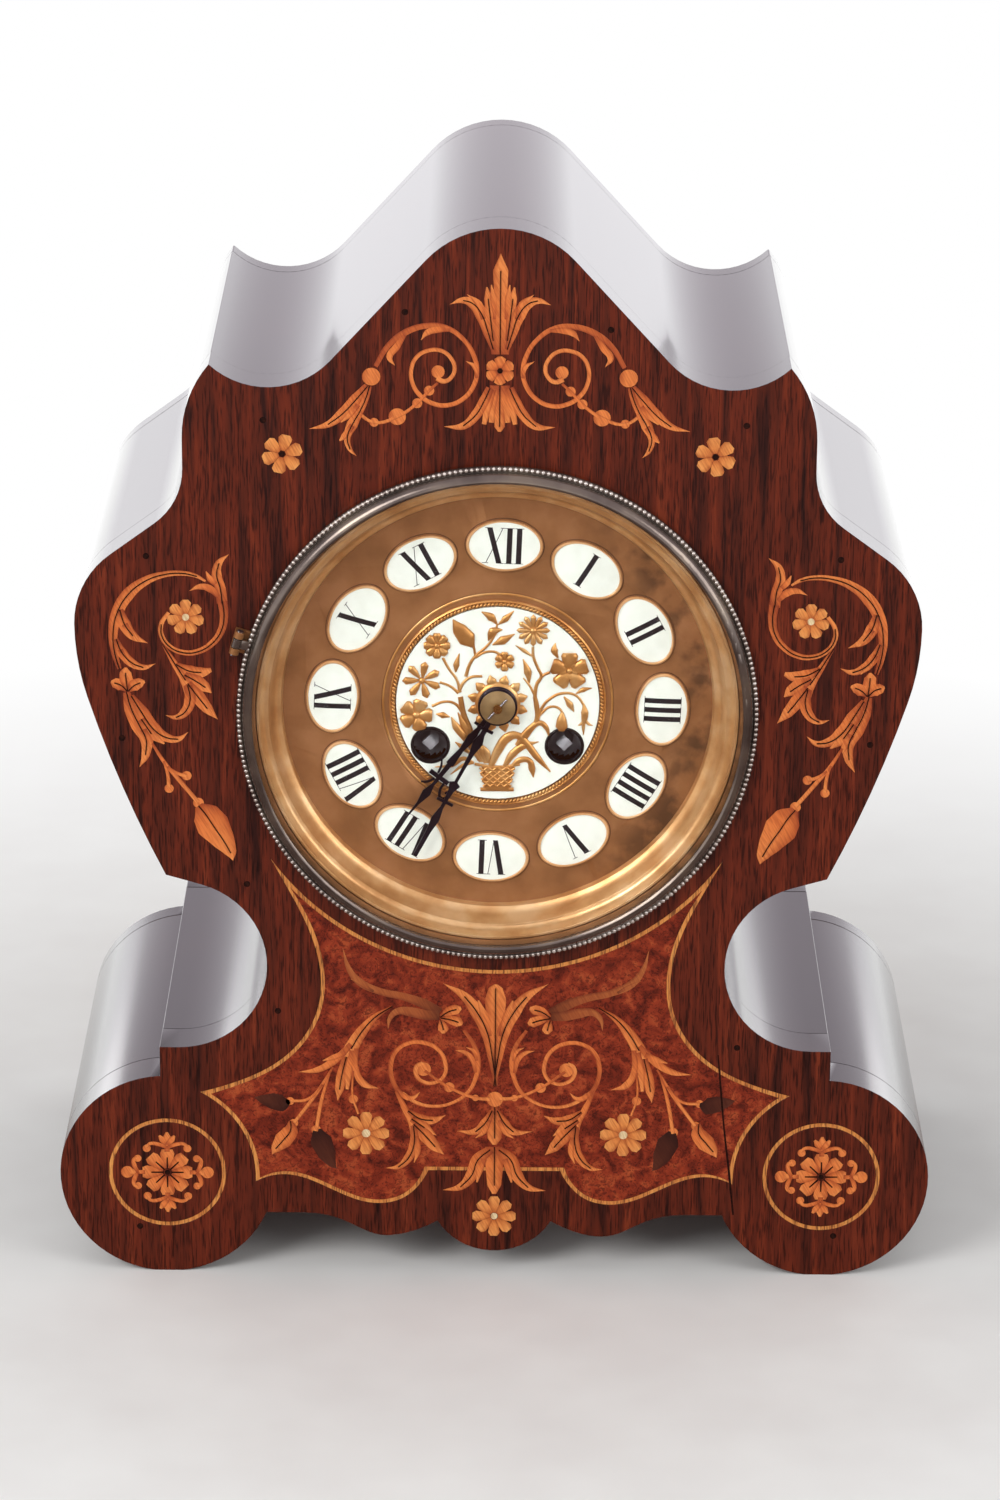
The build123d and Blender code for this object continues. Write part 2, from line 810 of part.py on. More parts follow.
# Front ring: sleeve through the board, flange, dial pan and hinge leaf
with BuildPart() as front_ring:
    add(
        turned(
            [
                (sleeve_bore, -flange_thick),
                (flange_radius, -flange_thick),
                (flange_radius, 0),
                (sleeve_radius, 0),
                (sleeve_radius, sleeve_end),
                (sleeve_bore, sleeve_end),
                (sleeve_bore, pan_front + pan_thick),
                (pan_bore, pan_front + pan_thick),
                (pan_bore, pan_front),
                (sleeve_bore, pan_front),
            ]
        )
    )
    add(fixed_knuckles(bezel_hinge, hinge_radius - flange_radius + 1.0))
    for angle in strap_angles:
        spot = step_from(centre_at, strap_ring, angle)
        add(rod(screw_radius + pin_fit, pan_front, pan_front + pan_thick, spot), mode=Mode.SUBTRACT)

# Hinged bezel ring with its rounded front and bead border
with BuildPart() as bezel_ring:
    with BuildSketch(Plane(origin=(0, front_y, dial_height))):
        with BuildLine():
            Line((glass_lip, bezel_back), (bezel_radius, bezel_back))
            Line((bezel_radius, bezel_back), (bezel_radius, bead_depth))
            Line((bezel_radius, bead_depth), (bead_radius - bead_size, bead_depth - 0.4))
            ThreePointArc((bead_radius - bead_size, bead_depth - 0.4), (84.2, -5.6), (82.6, -bezel_proud))
            Line((82.6, -bezel_proud), (bezel_bore, -bezel_proud + 0.5))
            Line((bezel_bore, -bezel_proud + 0.5), (bezel_bore, glass_front))
            Line((bezel_bore, glass_front), (glass_seat, glass_front))
            Line((glass_seat, glass_front), (glass_seat, glass_back))
            Line((glass_seat, glass_back), (glass_lip, glass_back))
            Line((glass_lip, glass_back), (glass_lip, bezel_back))
        make_face()
        with Locations((bead_radius, bead_depth)):
            Circle(bead_size)
    revolve(axis=Axis((0, front_y, dial_height), (0, 1, 0)))
    add(moving_knuckle(bezel_hinge, hinge_radius - bezel_radius + 0.6, 2.6))

# Bevelled bezel glass
with BuildPart() as bezel_glass:
    add(
        turned(
            [
                (0, glass_front + glass_gap),
                (bezel_bore - glass_bevel, glass_front + glass_gap),
                (glass_seat - glass_gap, glass_front + glass_gap + 0.5),
                (glass_seat - glass_gap, glass_back),
                (0, glass_back),
            ]
        )
    )

# Stepped reflector ring between glass and dial
with BuildPart() as reflector_ring:
    add(
        turned(
            [
                (80.5, -0.7),
                (79.6, -0.7),
                (78.6, 2.4),
                (77.3, 3.4),
                (76.6, 3.4),
                (75.2, 7.6),
                (73.6, 9.6),
                (72.6, 9.9),
                (71.9, dial_front),
                (73.2, dial_front),
                (74.6, 10.4),
                (76.2, 8.4),
                (77.6, 4.4),
                (79.4, 3.0),
            ]
        )
    )

winding_spots = [going_at, strike_at]

# Dial plate with pressed plaque rims, groove and feet
with BuildPart() as dial_plate:
    add(rod(dial_radius, dial_front, dial_front + dial_thick))
    with BuildSketch(dial_plane(dial_front)):
        with PolarLocations(hour_ring, 12, start_angle=90 + dial_turn):
            Ellipse(plaque_short + plaque_rim, plaque_long + plaque_rim)
    extrude(amount=rim_height)
    with BuildSketch(dial_plane(dial_front - rim_height)):
        with PolarLocations(hour_ring, 12, start_angle=90 + dial_turn):
            Ellipse(plaque_short, plaque_long)
    extrude(amount=-(rim_height + plaque_pocket), mode=Mode.SUBTRACT)
    with BuildSketch(dial_plane(dial_front)):
        Circle(groove_radius + 0.4)
        Circle(groove_radius - 0.4, mode=Mode.SUBTRACT)
    extrude(amount=-0.3, mode=Mode.SUBTRACT)
    with BuildSketch(dial_plane(dial_front)):
        Circle(dial_hole)
        with Locations(*winding_spots):
            Circle(grommet_bore + 0.4)
    extrude(amount=-dial_thick, mode=Mode.SUBTRACT)
    for angle in foot_angles:
        spot = step_from(centre_at, foot_ring, angle)
        add(rod(foot_shoulder, dial_front + dial_thick, plate_front, spot))
        add(rod(foot_radius, dial_front + dial_thick, inner_front + 0.5, spot))

# Twelve enamel hour plaques with low crowns
plaque_edge = 0.15
plaque_shelf = 0.6
plaque_height = plaque_pocket + rim_height - 0.3
with BuildPart() as plaque:
    with BuildSketch():
        Ellipse(plaque_short - plaque_edge, plaque_long - plaque_edge)
    extrude(amount=plaque_height)
    for rise, inset in ((0.0, plaque_edge + plaque_shelf), (plaque_crown, plaque_edge + 2 * plaque_shelf)):
        with BuildSketch(Plane.XY.offset(plaque_height + rise)):
            Ellipse(plaque_short - inset, plaque_long - inset)
    loft()

with BuildPart(dial_plane(dial_front + plaque_pocket)) as hour_plaques:
    with PolarLocations(hour_ring, 12, start_angle=90 + dial_turn):
        add(plaque.part)

# Enamel centre disc
with BuildPart() as centre_enamel:
    with BuildSketch(dial_plane(dial_front - centre_thick)):
        Circle(centre_radius)
        Circle(dial_hole, mode=Mode.SUBTRACT)
        with Locations(*winding_spots):
            Circle(grommet_bore + 0.4, mode=Mode.SUBTRACT)
    extrude(amount=-centre_thick)

# Gilt centre relief: border, collar, basket and stems with flower heads
relief_front = dial_front - centre_thick
flower_heads = ((-21.0, 9.0), (-11.0, 20.0), (1.0, 24.0), (12.0, 22.0), (21.5, 11.0))
with BuildPart() as centre_relief:
    add(
        turned(
            [
                (centre_radius + 0.02, dial_front),
                (centre_radius + 0.02, relief_front),
                (border_radius, relief_front - border_size),
                (border_radius + border_size, relief_front),
                (border_radius + border_size, dial_front),
            ]
        )
    )
    add(
        turned(
            [
                (dial_hole, relief_front),
                (dial_hole, collar_front),
                (collar_radius - 0.8, collar_front),
                (collar_radius, collar_front + 0.5),
                (collar_radius, relief_front),
            ]
        )
    )
    with BuildSketch(dial_plane(relief_front)):
        with BuildLine():
            Polyline((-7.0, -24.0), (7.0, -24.0), (5.2, -32.0), (-5.2, -32.0), close=True)
        make_face()
        with Locations(*flower_heads, (24.0, -1.0), (-24.0, -2.0)):
            RegularPolygon(4.2, 8)
    extrude(amount=0.7)
    with BuildSketch(dial_plane(relief_front)):
        for tip in flower_heads:
            with BuildLine():
                Polyline(
                    (-0.5, -24.5),
                    (0.5, -24.5),
                    (tip[0] + 0.5, tip[1]),
                    (tip[0] - 0.5, tip[1]),
                    close=True,
                )
            make_face()
        Circle(collar_radius - 0.6, mode=Mode.SUBTRACT)
    extrude(amount=0.4)

# Winding-hole grommets
with BuildPart() as winding_grommets:
    for spot in winding_spots:
        add(
            turned(
                [
                    (grommet_bore, relief_front - 0.5),
                    (grommet_radius - 0.4, relief_front - 0.5),
                    (grommet_radius, relief_front),
                    (grommet_bore + 0.35, relief_front),
                    (grommet_bore + 0.35, dial_front + dial_thick),
                    (grommet_bore, dial_front + dial_thick),
                ],
                spot,
            )
        )


def hand(depth, angle, bore, widths, bars, loops):
    """Pierced steel hand: a boss, a stem given as distance and half width, cross bars and small loops."""
    turn = 90 - angle
    with BuildPart() as piece:
        with BuildSketch(dial_plane(depth)):
            with Locations(Rotation(0, 0, turn)):
                with BuildSketch(mode=Mode.PRIVATE) as shape:
                    with BuildLine():
                        Polyline(*widths, *[(x, -y) for x, y in reversed(widths)], close=True)
                    make_face()
                    for reach, half, long in bars:
                        with Locations((reach, 0)):
                            Rectangle(long, 2 * half)
                    for reach, side, size in loops:
                        with Locations((reach, side), (reach, -side)):
                            Circle(size)
                            Circle(size * 0.5, mode=Mode.SUBTRACT)
                    Circle(boss_radius)
                    Circle(bore, mode=Mode.SUBTRACT)
                add(shape.sketch)
        extrude(amount=-hand_thick)
    return piece.part


# Hour hand
with BuildPart() as hour_hand:
    add(
        hand(
            hour_hand_depth,
            hour_angle,
            hour_pipe + pin_fit,
            [(5.0, 0.8), (9.0, 1.0), (12.0, 1.1), (16.5, 2.1), (24.0, 1.0), (29.0, 0.9), (33.0, 0.9),
             (38.0, 2.0), (42.0, 0.7), (hour_length, 0.4)],
            [(9.5, 2.4, 1.0), (27.0, 4.2, 1.2), (30.0, 2.6, 1.0)],
            [(27.4, 5.0, 1.5)],
        )
    )

# Minute hand
with BuildPart() as minute_hand:
    add(
        hand(
            minute_hand_depth,
            minute_angle,
            hand_seat + pin_fit,
            [(5.0, 0.8), (9.0, 1.0), (12.5, 1.1), (17.5, 2.2), (25.0, 0.9), (33.0, 0.8), (41.0, 0.8),
             (46.5, 2.0), (51.0, 0.9), (minute_length, 0.45)],
            [(9.6, 2.4, 1.0), (34.0, 3.8, 1.2), (40.0, 2.8, 1.0)],
            [(34.4, 4.6, 1.4)],
        )
    )

# Domed washer and taper pin that hold the hands
with BuildPart() as hand_washer:
    add(
        turned(
            [
                (arbor_radius + pin_fit, arbor_tip + 1.0),
                (2.6, arbor_tip + 1.0),
                (washer_radius, minute_hand_depth - 0.25),
                (washer_radius, minute_hand_depth),
                (arbor_radius + pin_fit, minute_hand_depth),
            ]
        )
    )

taper_radius = 0.4
pin_depth_front = arbor_tip + 1.0 - taper_radius
taper_turn = 90 - 222.0


def cross_pin(radius, half):
    """Pin across the centre arbor."""
    way = (cos(radians(taper_turn)), 0, sin(radians(taper_turn)))
    start = (-half * way[0], front_y + pin_depth_front, dial_height - half * way[2])
    with BuildPart() as piece:
        with BuildSketch(Plane(origin=start, z_dir=way)):
            Circle(radius)
        extrude(amount=2 * half)
    return piece.part


with BuildPart() as hand_pin:
    add(cross_pin(taper_radius, 4.6))

# Plates of the movement
small_pivot = 0.7
mid_pivot = 1.0
train_holes = [
    (mid_at, mid_pivot),
    (third_at, small_pivot),
    (escape_at, small_pivot),
    (second_at, mid_pivot),
    (pin_at, small_pivot),
    (warning_at, small_pivot),
    (fly_at, small_pivot),
    (hammer_at, mid_pivot),
]
centre_pivot = 1.8
winding_pivot = 2.6
winding_rear = 1.8
pillar_spots = [step_from(centre_at, pillar_ring, angle) for angle in pillar_angles]
foot_spots = [step_from(centre_at, foot_ring, angle) for angle in foot_angles]
stud_radius = 1.0


def plate(depth, winding, holes):
    """Round movement plate with its pivot holes and screw holes."""
    with BuildPart() as piece:
        with BuildSketch(dial_plane(depth)):
            Circle(plate_radius)
            for spot, pivot in train_holes + holes:
                with Locations(spot):
                    Circle(pivot + running_fit, mode=Mode.SUBTRACT)
            with Locations(*winding_spots):
                Circle(winding + running_fit, mode=Mode.SUBTRACT)
            with Locations(*pillar_spots):
                Circle(screw_radius + pin_fit, mode=Mode.SUBTRACT)
        extrude(amount=-plate_thick)
    return piece.part


with BuildPart() as front_plate:
    add(plate(plate_front, winding_pivot, [(centre_at, centre_pivot), (anchor_at, small_pivot)]))
    with BuildSketch(dial_plane(plate_front)):
        with Locations(*foot_spots):
            Circle(foot_radius + pin_fit)
    extrude(amount=-plate_thick, mode=Mode.SUBTRACT)
    add(rod(stud_radius, hour_depth - 1.2, plate_front, minute_at))
    for side in (-1, 1):
        add(rod(1.0, ratchet_depth - 0.2, plate_front, (side * (winding_x + 12.0), winding_z + 9.5)))

anchor_bore = 3.5
with BuildPart() as back_plate:
    add(plate(inner_back, winding_rear, [(centre_at, mid_pivot), (anchor_at, anchor_bore)]))

# Four pillars
with BuildPart() as plate_pillars:
    for spot in pillar_spots:
        add(
            turned(
                [
                    (screw_radius + pin_fit, inner_front),
                    (pillar_radius + 0.4, inner_front),
                    (pillar_radius + 0.4, inner_front + 3),
                    (pillar_radius - 0.6, inner_front + 5),
                    (pillar_radius - 0.6, inner_back - 5),
                    (pillar_radius + 0.4, inner_back - 3),
                    (pillar_radius + 0.4, inner_back),
                    (screw_radius + pin_fit, inner_back),
                ],
                spot,
            )
        )

# Steel screws of the pillars and straps
strap_spots = [step_from(centre_at, strap_ring, angle) for angle in strap_angles]


def screw(spot, head, tip):
    """Cheese-head screw whose head lies at one depth and whose tip lies at another."""
    way = 1 if tip > head else -1
    top = head - way * 1.6
    with BuildPart() as piece:
        add(rod(screw_head, min(top, head), max(top, head), spot))
        add(rod(screw_radius, min(head, tip), max(head, tip), spot))
        with BuildSketch(dial_plane(top, spot)):
            Rectangle(2.2 * screw_head, 0.6)
        extrude(amount=-way * 0.7, mode=Mode.SUBTRACT)
    return piece.part


lug_thick = 2.0
with BuildPart() as steel_screws:
    for spot in pillar_spots:
        add(screw(spot, plate_front, plate_front + 10))
        add(screw(spot, rear_face, rear_face - 10))
    for spot in strap_spots:
        add(screw(spot, pan_front + pan_thick + strap_thick, pan_front))
        add(screw(spot, back_sleeve_start + lug_thick, back_sleeve_start - strap_thick - 4))

# Straps from the dial pan to the back ring
strap_start = pan_front + pan_thick
strap_foot = 9.0
with BuildPart() as movement_straps:
    for angle in strap_angles:
        lay = Plane(
            origin=(0, front_y, dial_height),
            x_dir=(cos(radians(angle)), 0, sin(radians(angle))),
            z_dir=(0, 1, 0),
        )
        inner = strap_ring + strap_foot / 2
        wide = strap_width / 2
        last = back_sleeve_start
        add(block(lay, (strap_ring - 4, -wide, strap_start), (inner, wide, strap_start + strap_thick)))
        add(block(lay, (inner - strap_thick, -wide, strap_start), (inner, wide, last)))
        add(block(lay, (strap_ring - 4, -wide, last - strap_thick), (inner, wide, last)))
    for spot in strap_spots:
        add(rod(screw_radius + pin_fit, strap_start, strap_start + strap_thick, spot), mode=Mode.SUBTRACT)
        add(rod(screw_radius + pin_fit, last - strap_thick, last, spot), mode=Mode.SUBTRACT)

# Barrels with their great wheels
def barrel(at):
    """Spring barrel with a lid in front and the great wheel behind."""
    bore = barrel_arbor + running_fit
    floor = barrel_back - great_thick
    with BuildPart() as piece:
        add(toothed(wheel_points(great_teeth, great_module, second_leaves, 0), floor, great_thick, at))
        add(
            turned(
                [
                    (bore, barrel_front),
                    (barrel_radius, barrel_front),
                    (barrel_radius, floor),
                    (barrel_radius - barrel_wall, floor),
                    (barrel_radius - barrel_wall, barrel_front + barrel_lid),
                    (bore, barrel_front + barrel_lid),
                ],
                at,
            )
        )
        add(rod(bore, floor, barrel_back, at), mode=Mode.SUBTRACT)
    return piece.part


with BuildPart() as going_barrel:
    add(barrel(going_at))

with BuildPart() as strike_barrel:
    add(barrel(strike_at))

# Mainsprings, wound from half turns about two centres
spring_thick = 0.5
spring_turns = 7
spring_inner = 7.0
spring_outer = barrel_radius - barrel_wall - 0.02
spring_height = 9.0
spring_step = (spring_outer - spring_inner - spring_thick) / (4 * spring_turns - 2)


def mainspring(at):
    """Flat spiral spring inside a barrel."""
    middle = (barrel_front + barrel_lid + barrel_back - great_thick) / 2
    first = spring_inner + spring_thick / 2 - spring_step
    with BuildPart() as piece:
        with BuildSketch(dial_plane(middle - spring_height / 2, at)):
            with BuildLine():
                for half_turn in range(2 * spring_turns):
                    x = spring_step if half_turn % 2 else -spring_step
                    start = 180 * half_turn
                    radius = first + 2 * spring_step * half_turn
                    arc_on(x, 0, radius + spring_thick / 2, start, start + 180)
                    arc_on(x, 0, radius - spring_thick / 2, start, start + 180)
                for edge_turn, x in ((0, -spring_step), (2 * spring_turns - 1, spring_step)):
                    radius = first + 2 * spring_step * edge_turn
                    Line((x + radius - spring_thick / 2, 0), (x + radius + spring_thick / 2, 0))
            make_face()
        extrude(amount=-spring_height)
    return piece.part


with BuildPart() as going_mainspring:
    add(mainspring(going_at))

with BuildPart() as strike_mainspring:
    add(mainspring(strike_at))


def ratchet_points(side):
    """Saw-toothed outline of a ratchet wheel."""
    points = []
    for tooth in range(ratchet_teeth):
        steep = 2 * pi * tooth / ratchet_teeth
        shallow = steep + side * 1.9 * pi / ratchet_teeth
        points.append((ratchet_radius * cos(steep), ratchet_radius * sin(steep)))
        points.append(((ratchet_radius - 0.9) * cos(shallow), (ratchet_radius - 0.9) * sin(shallow)))
    return points if side > 0 else list(reversed(points))


def winding_arbor(at, side):
    """Winding arbor with its square, ratchet wheel and spring core."""
    first = inner_front + end_shake
    core_front = barrel_front + barrel_lid + end_shake
    core_back = barrel_back - great_thick - end_shake
    last = inner_back - end_shake
    with BuildPart() as piece:
        add(
            turned(
                [
                    (0, ratchet_depth),
                    (winding_pivot, ratchet_depth),
                    (winding_pivot, first),
                    (barrel_arbor, first),
                    (barrel_arbor, core_front),
                    (core_radius, core_front),
                    (core_radius, core_back),
                    (barrel_arbor, core_back),
                    (barrel_arbor, last),
                    (winding_rear, last),
                    (winding_rear, rear_face),
                    (0, rear_face),
                ],
                at,
            )
        )
        with BuildSketch(dial_plane(square_front, at)):
            Rectangle(square_size, square_size, rotation=45)
        extrude(amount=square_front - ratchet_depth)
        add(toothed(ratchet_points(side), ratchet_depth, plate_front - end_shake - ratchet_depth, at))
    return piece.part


with BuildPart() as going_winding_arbor:
    add(winding_arbor(going_at, 1))

with BuildPart() as strike_winding_arbor:
    add(winding_arbor(strike_at, 1))


def click(side):
    """Pawl on its stud, drawn with its nose just lifted clear of the ratchet teeth."""
    spot = (side * (winding_x + 12.0), winding_z + 9.5)
    with BuildPart() as piece:
        with BuildSketch(dial_plane(ratchet_depth, spot)):
            Circle(2.3)
            with BuildLine():
                Polyline(
                    (0, 2.2),
                    (side * -9.0, 1.4),
                    (side * -10.6, -1.2),
                    (side * -9.2, -0.9),
                    (0, -1.6),
                    close=True,
                )
            make_face()
            Circle(1.0 + running_fit, mode=Mode.SUBTRACT)
        extrude(amount=ratchet_depth + end_shake - plate_front)
    return piece.part


with BuildPart() as going_click:
    add(click(1))

with BuildPart() as strike_click:
    add(click(-1))

# Going train wheels
mid_phase = mesh_phase(going_at, mid_at, 0, great_teeth, second_leaves)
centre_phase = mesh_phase(mid_at, centre_at, 0, mid_teeth, centre_leaves)
third_phase = mesh_phase(centre_at, third_at, 0, centre_teeth, third_leaves)
escape_phase = mesh_phase(third_at, escape_at, 0, third_teeth, escape_leaves)

with BuildPart() as mid_wheel:
    add(
        wheel_mobile(
            mid_at, 1.5, mid_pivot,
            wheel_points(mid_teeth, mid_module, centre_leaves, 0), 15.0, 4.0, mid_depth,
            pinion_points(second_leaves, great_module, mid_phase), 42.4, 3.8,
        )
    )

with BuildPart() as centre_wheel:
    add(
        turned(
            [
                (0, arbor_tip),
                (arbor_radius, arbor_tip),
                (arbor_radius, arbor_shoulder),
                (centre_pivot, arbor_shoulder),
                (centre_pivot, inner_back - end_shake),
                (mid_pivot, inner_back - end_shake),
                (mid_pivot, rear_face),
                (0, rear_face),
            ]
        )
    )
    centre_points = wheel_points(centre_teeth, centre_module, third_leaves, 0)
    add(crossed_wheel(centre_points, 14.6, 4.0, 5, centre_depth, centre_at))
    add(rod(4.0, centre_depth - 0.6, centre_depth + wheel_thick + 0.3))
    add(toothed(pinion_points(centre_leaves, mid_module, centre_phase), 48.3, 3.0, centre_at))
    add(cross_pin(taper_radius, 4.6), mode=Mode.SUBTRACT)

with BuildPart() as third_wheel:
    add(
        wheel_mobile(
            third_at, 1.0, small_pivot,
            wheel_points(third_teeth, third_module, escape_leaves, 0), 13.0, 3.2, third_depth,
            pinion_points(third_leaves, centre_module, third_phase), 45.9, 2.7,
        )
    )

escape_points = []
for tooth in range(escape_teeth):
    lead = 2 * pi * tooth / escape_teeth
    tooth_step = 2 * pi / escape_teeth
    escape_points.append((escape_radius * cos(lead), escape_radius * sin(lead)))
    escape_points.append((7.9 * cos(lead + 0.2 * tooth_step), 7.9 * sin(lead + 0.2 * tooth_step)))
    escape_points.append((7.9 * cos(lead + 0.7 * tooth_step), 7.9 * sin(lead + 0.7 * tooth_step)))

with BuildPart() as escape_wheel:
    add(
        wheel_mobile(
            escape_at, 0.85, small_pivot,
            escape_points, 6.9, 2.4, escape_depth,
            pinion_points(escape_leaves, third_module, escape_phase), 27.1, 2.4,
        )
    )

# Motion work
minute_phase = mesh_phase(centre_at, minute_at, 0, cannon_leaves, minute_teeth)
hour_phase = mesh_phase(minute_at, centre_at, 0, minute_leaves, hour_teeth)
cannon_bore = arbor_radius + 0.04
with BuildPart() as cannon_pinion:
    add(
        turned(
            [
                (cannon_bore, minute_hand_depth + 0.1),
                (hand_seat, minute_hand_depth + 0.1),
                (hand_seat, minute_hand_depth + hand_thick),
                (cannon_pipe, minute_hand_depth + hand_thick),
                (cannon_pipe, arbor_shoulder),
                (cannon_bore, arbor_shoulder),
            ]
        )
    )
    add(toothed(pinion_points(cannon_leaves, minute_module, 0), cannon_depth, 2.6, centre_at))
    add(rod(cannon_bore, cannon_depth, arbor_shoulder), mode=Mode.SUBTRACT)

with BuildPart() as minute_wheel:
    minute_points = wheel_points(minute_teeth, minute_module, cannon_leaves, minute_phase)
    add(crossed_wheel(minute_points, 7.4, 2.8, 4, minute_depth, minute_at))
    leaf_points = pinion_points(minute_leaves, hour_module, 0)
    add(toothed(leaf_points, hour_depth - 0.6, minute_depth - hour_depth + 0.6, minute_at))
    add(rod(1.8, hour_depth - 0.6, minute_depth + wheel_thick + 1.2, minute_at))
    add(rod(stud_radius + running_fit, hour_depth - 0.6, plate_front, minute_at), mode=Mode.SUBTRACT)

hour_bore = cannon_pipe + 0.06
with BuildPart() as hour_wheel:
    hour_points = wheel_points(hour_teeth, hour_module, minute_leaves, hour_phase)
    add(crossed_wheel(hour_points, 8.0, 4.6, 4, hour_depth, centre_at))
    add(rod(hour_pipe, hour_hand_depth, hour_depth + wheel_thick))
    add(rod(hour_shoulder, hour_hand_depth + hand_thick, hour_depth + wheel_thick))
    add(rod(hour_bore, hour_hand_depth, hour_depth + wheel_thick), mode=Mode.SUBTRACT)

# Anchor, arbor and crutch
pallet_ring = escape_radius + swing_clear
pallet_turn = 42.0
pallet_x = pallet_ring * sin(radians(pallet_turn))
pallet_drop = anchor_rise - pallet_ring * cos(radians(pallet_turn))
pallet_size = 1.8
pallet_back = pallet_size * cos(radians(pallet_turn)) - pallet_drop
fork_drop = 29.0
with BuildPart() as anchor:
    add(
        turned(
            [
                (0, plate_front),
                (small_pivot, plate_front),
                (small_pivot, inner_front + end_shake),
                (1.0, inner_front + end_shake),
                (1.0, cock_front - 0.2),
                (small_pivot, cock_front - 0.2),
                (small_pivot, cock_front + 1.9),
                (0, cock_front + 1.9),
            ],
            anchor_at,
        )
    )
    with BuildSketch(dial_plane(escape_depth, anchor_at)):
        Circle(2.0)
        for side in (-1, 1):
            with BuildLine():
                Polyline(
                    (0, 1.8),
                    (side * (pallet_x + pallet_size * sin(radians(pallet_turn))), pallet_back),
                    (side * pallet_x, -pallet_drop),
                    (side * 1.0, -1.2),
                    (0, -1.4),
                    close=True,
                )
            make_face()
    extrude(amount=-wheel_thick)
    crutch = dial_plane(rear_face, anchor_at)
    add(block(crutch, (-1.8, -2.0, -1.8), (1.8, 2.0, -0.6)))
    add(block(crutch, (-0.8, -fork_drop, -1.8), (0.8, 0, -0.6)))
    add(block(crutch, (-2.6, -fork_drop - 1.2, -1.8), (2.6, -fork_drop + 1.2, -0.6)))
    for side in (-1, 1):
        low = min(side * (rod_radius + 0.2), side * 2.6)
        high = max(side * (rod_radius + 0.2), side * 2.6)
        near = (low, -fork_drop - 1.2, rear_face - pendulum_depth - 2.5)
        add(block(crutch, near, (high, -fork_drop + 1.2, -0.6)))

# Back cock that carries the anchor and the pendulum
cock_half = 15.0
leg_x = 12.0
with BuildPart() as back_cock:
    cock = dial_plane(cock_front, anchor_at)
    add(block(cock, (-cock_half, -3.6, -2.0), (cock_half, 5.6, 0)))
    add(block(cock, (-2.4, 3.0, cock_front - pendulum_depth - 2.5), (2.4, 8.6, 0)))
    for side in (-1, 1):
        add(rod(2.6, rear_face, cock_front, (side * leg_x, anchor_at[1])))
    add(rod(small_pivot + running_fit, cock_front, cock_front + 2, anchor_at), mode=Mode.SUBTRACT)

# Pendulum rod with its suspension spring and rating screw
spring_long = 12.0
rod_end = pendulum_length + bob_radius + 6.0
with BuildPart() as pendulum_rod:
    hang = dial_plane(pendulum_depth, anchor_at)
    add(block(hang, (-0.15, -spring_long, -2.0), (0.15, 2.4, 2.0)))
    add(block(hang, (-1.6, -spring_long - 4, -2.4), (1.6, -spring_long, 2.4)))
    rod_top = dial_height + anchor_at[1] - spring_long - 2
    with BuildSketch(Plane(origin=(0, front_y + pendulum_depth, rod_top))):
        Circle(rod_radius)
    extrude(amount=spring_long + 2 - rod_end)

# Lens-shaped bob with its rating nut
with BuildPart() as pendulum_bob:
    bob_at = (0.0, anchor_at[1] - pendulum_length)
    with BuildSketch(Plane(origin=(0, front_y, dial_height + bob_at[1]))):
        with BuildLine():
            Line((0, pendulum_depth - bob_half), (0, pendulum_depth + bob_half))
            ThreePointArc(
                (0, pendulum_depth + bob_half),
                (bob_radius * 0.6, pendulum_depth + bob_half * 0.68),
                (bob_radius, pendulum_depth + 0.6),
            )
            Line((bob_radius, pendulum_depth + 0.6), (bob_radius, pendulum_depth - 0.6))
            ThreePointArc(
                (bob_radius, pendulum_depth - 0.6),
                (bob_radius * 0.6, pendulum_depth - bob_half * 0.68),
                (0, pendulum_depth - bob_half),
            )
        make_face()
    revolve(axis=Axis((0, front_y, dial_height + bob_at[1]), (0, 1, 0)))
    with BuildSketch(Plane(origin=(0, front_y + pendulum_depth, dial_height + bob_at[1] - bob_radius - 2.6))):
        Circle(3.2)
    extrude(amount=2.4)
    with BuildSketch(Plane(origin=(0, front_y + pendulum_depth, dial_height + bob_at[1] - bob_radius - 6.0))):
        Circle(rod_radius + pin_fit)
    extrude(amount=2 * bob_radius + 10, mode=Mode.SUBTRACT)

# Strike train wheels
second_phase = mesh_phase(strike_at, second_at, 0, great_teeth, second_leaves)
pin_phase = mesh_phase(second_at, pin_at, 0, strike_teeth, pin_leaves)
warning_phase = mesh_phase(pin_at, warning_at, 0, pin_teeth, warning_leaves)
fly_phase = mesh_phase(warning_at, fly_at, 0, warning_teeth, fly_leaves)

with BuildPart() as second_wheel:
    add(
        wheel_mobile(
            second_at, 1.4, mid_pivot,
            wheel_points(strike_teeth, strike_module, pin_leaves, 0), 11.6, 3.6, mid_depth,
            pinion_points(second_leaves, great_module, second_phase), 42.4, 3.8,
            count_depth + wheel_thick + 0.4,
        )
    )

# Count wheel with a notch after each hour
with BuildPart() as count_wheel:
    with BuildSketch(dial_plane(count_depth, second_at)):
        Circle(count_radius)
        Circle(mid_pivot, mode=Mode.SUBTRACT)
        blows = 0
        for hour in range(1, 13):
            blows += hour + 1
            with Locations(Rotation(0, 0, 360 * blows / 90)):
                with Locations((count_radius, 0)):
                    Rectangle(4.0, 1.0, mode=Mode.SUBTRACT)
    extrude(amount=-wheel_thick)

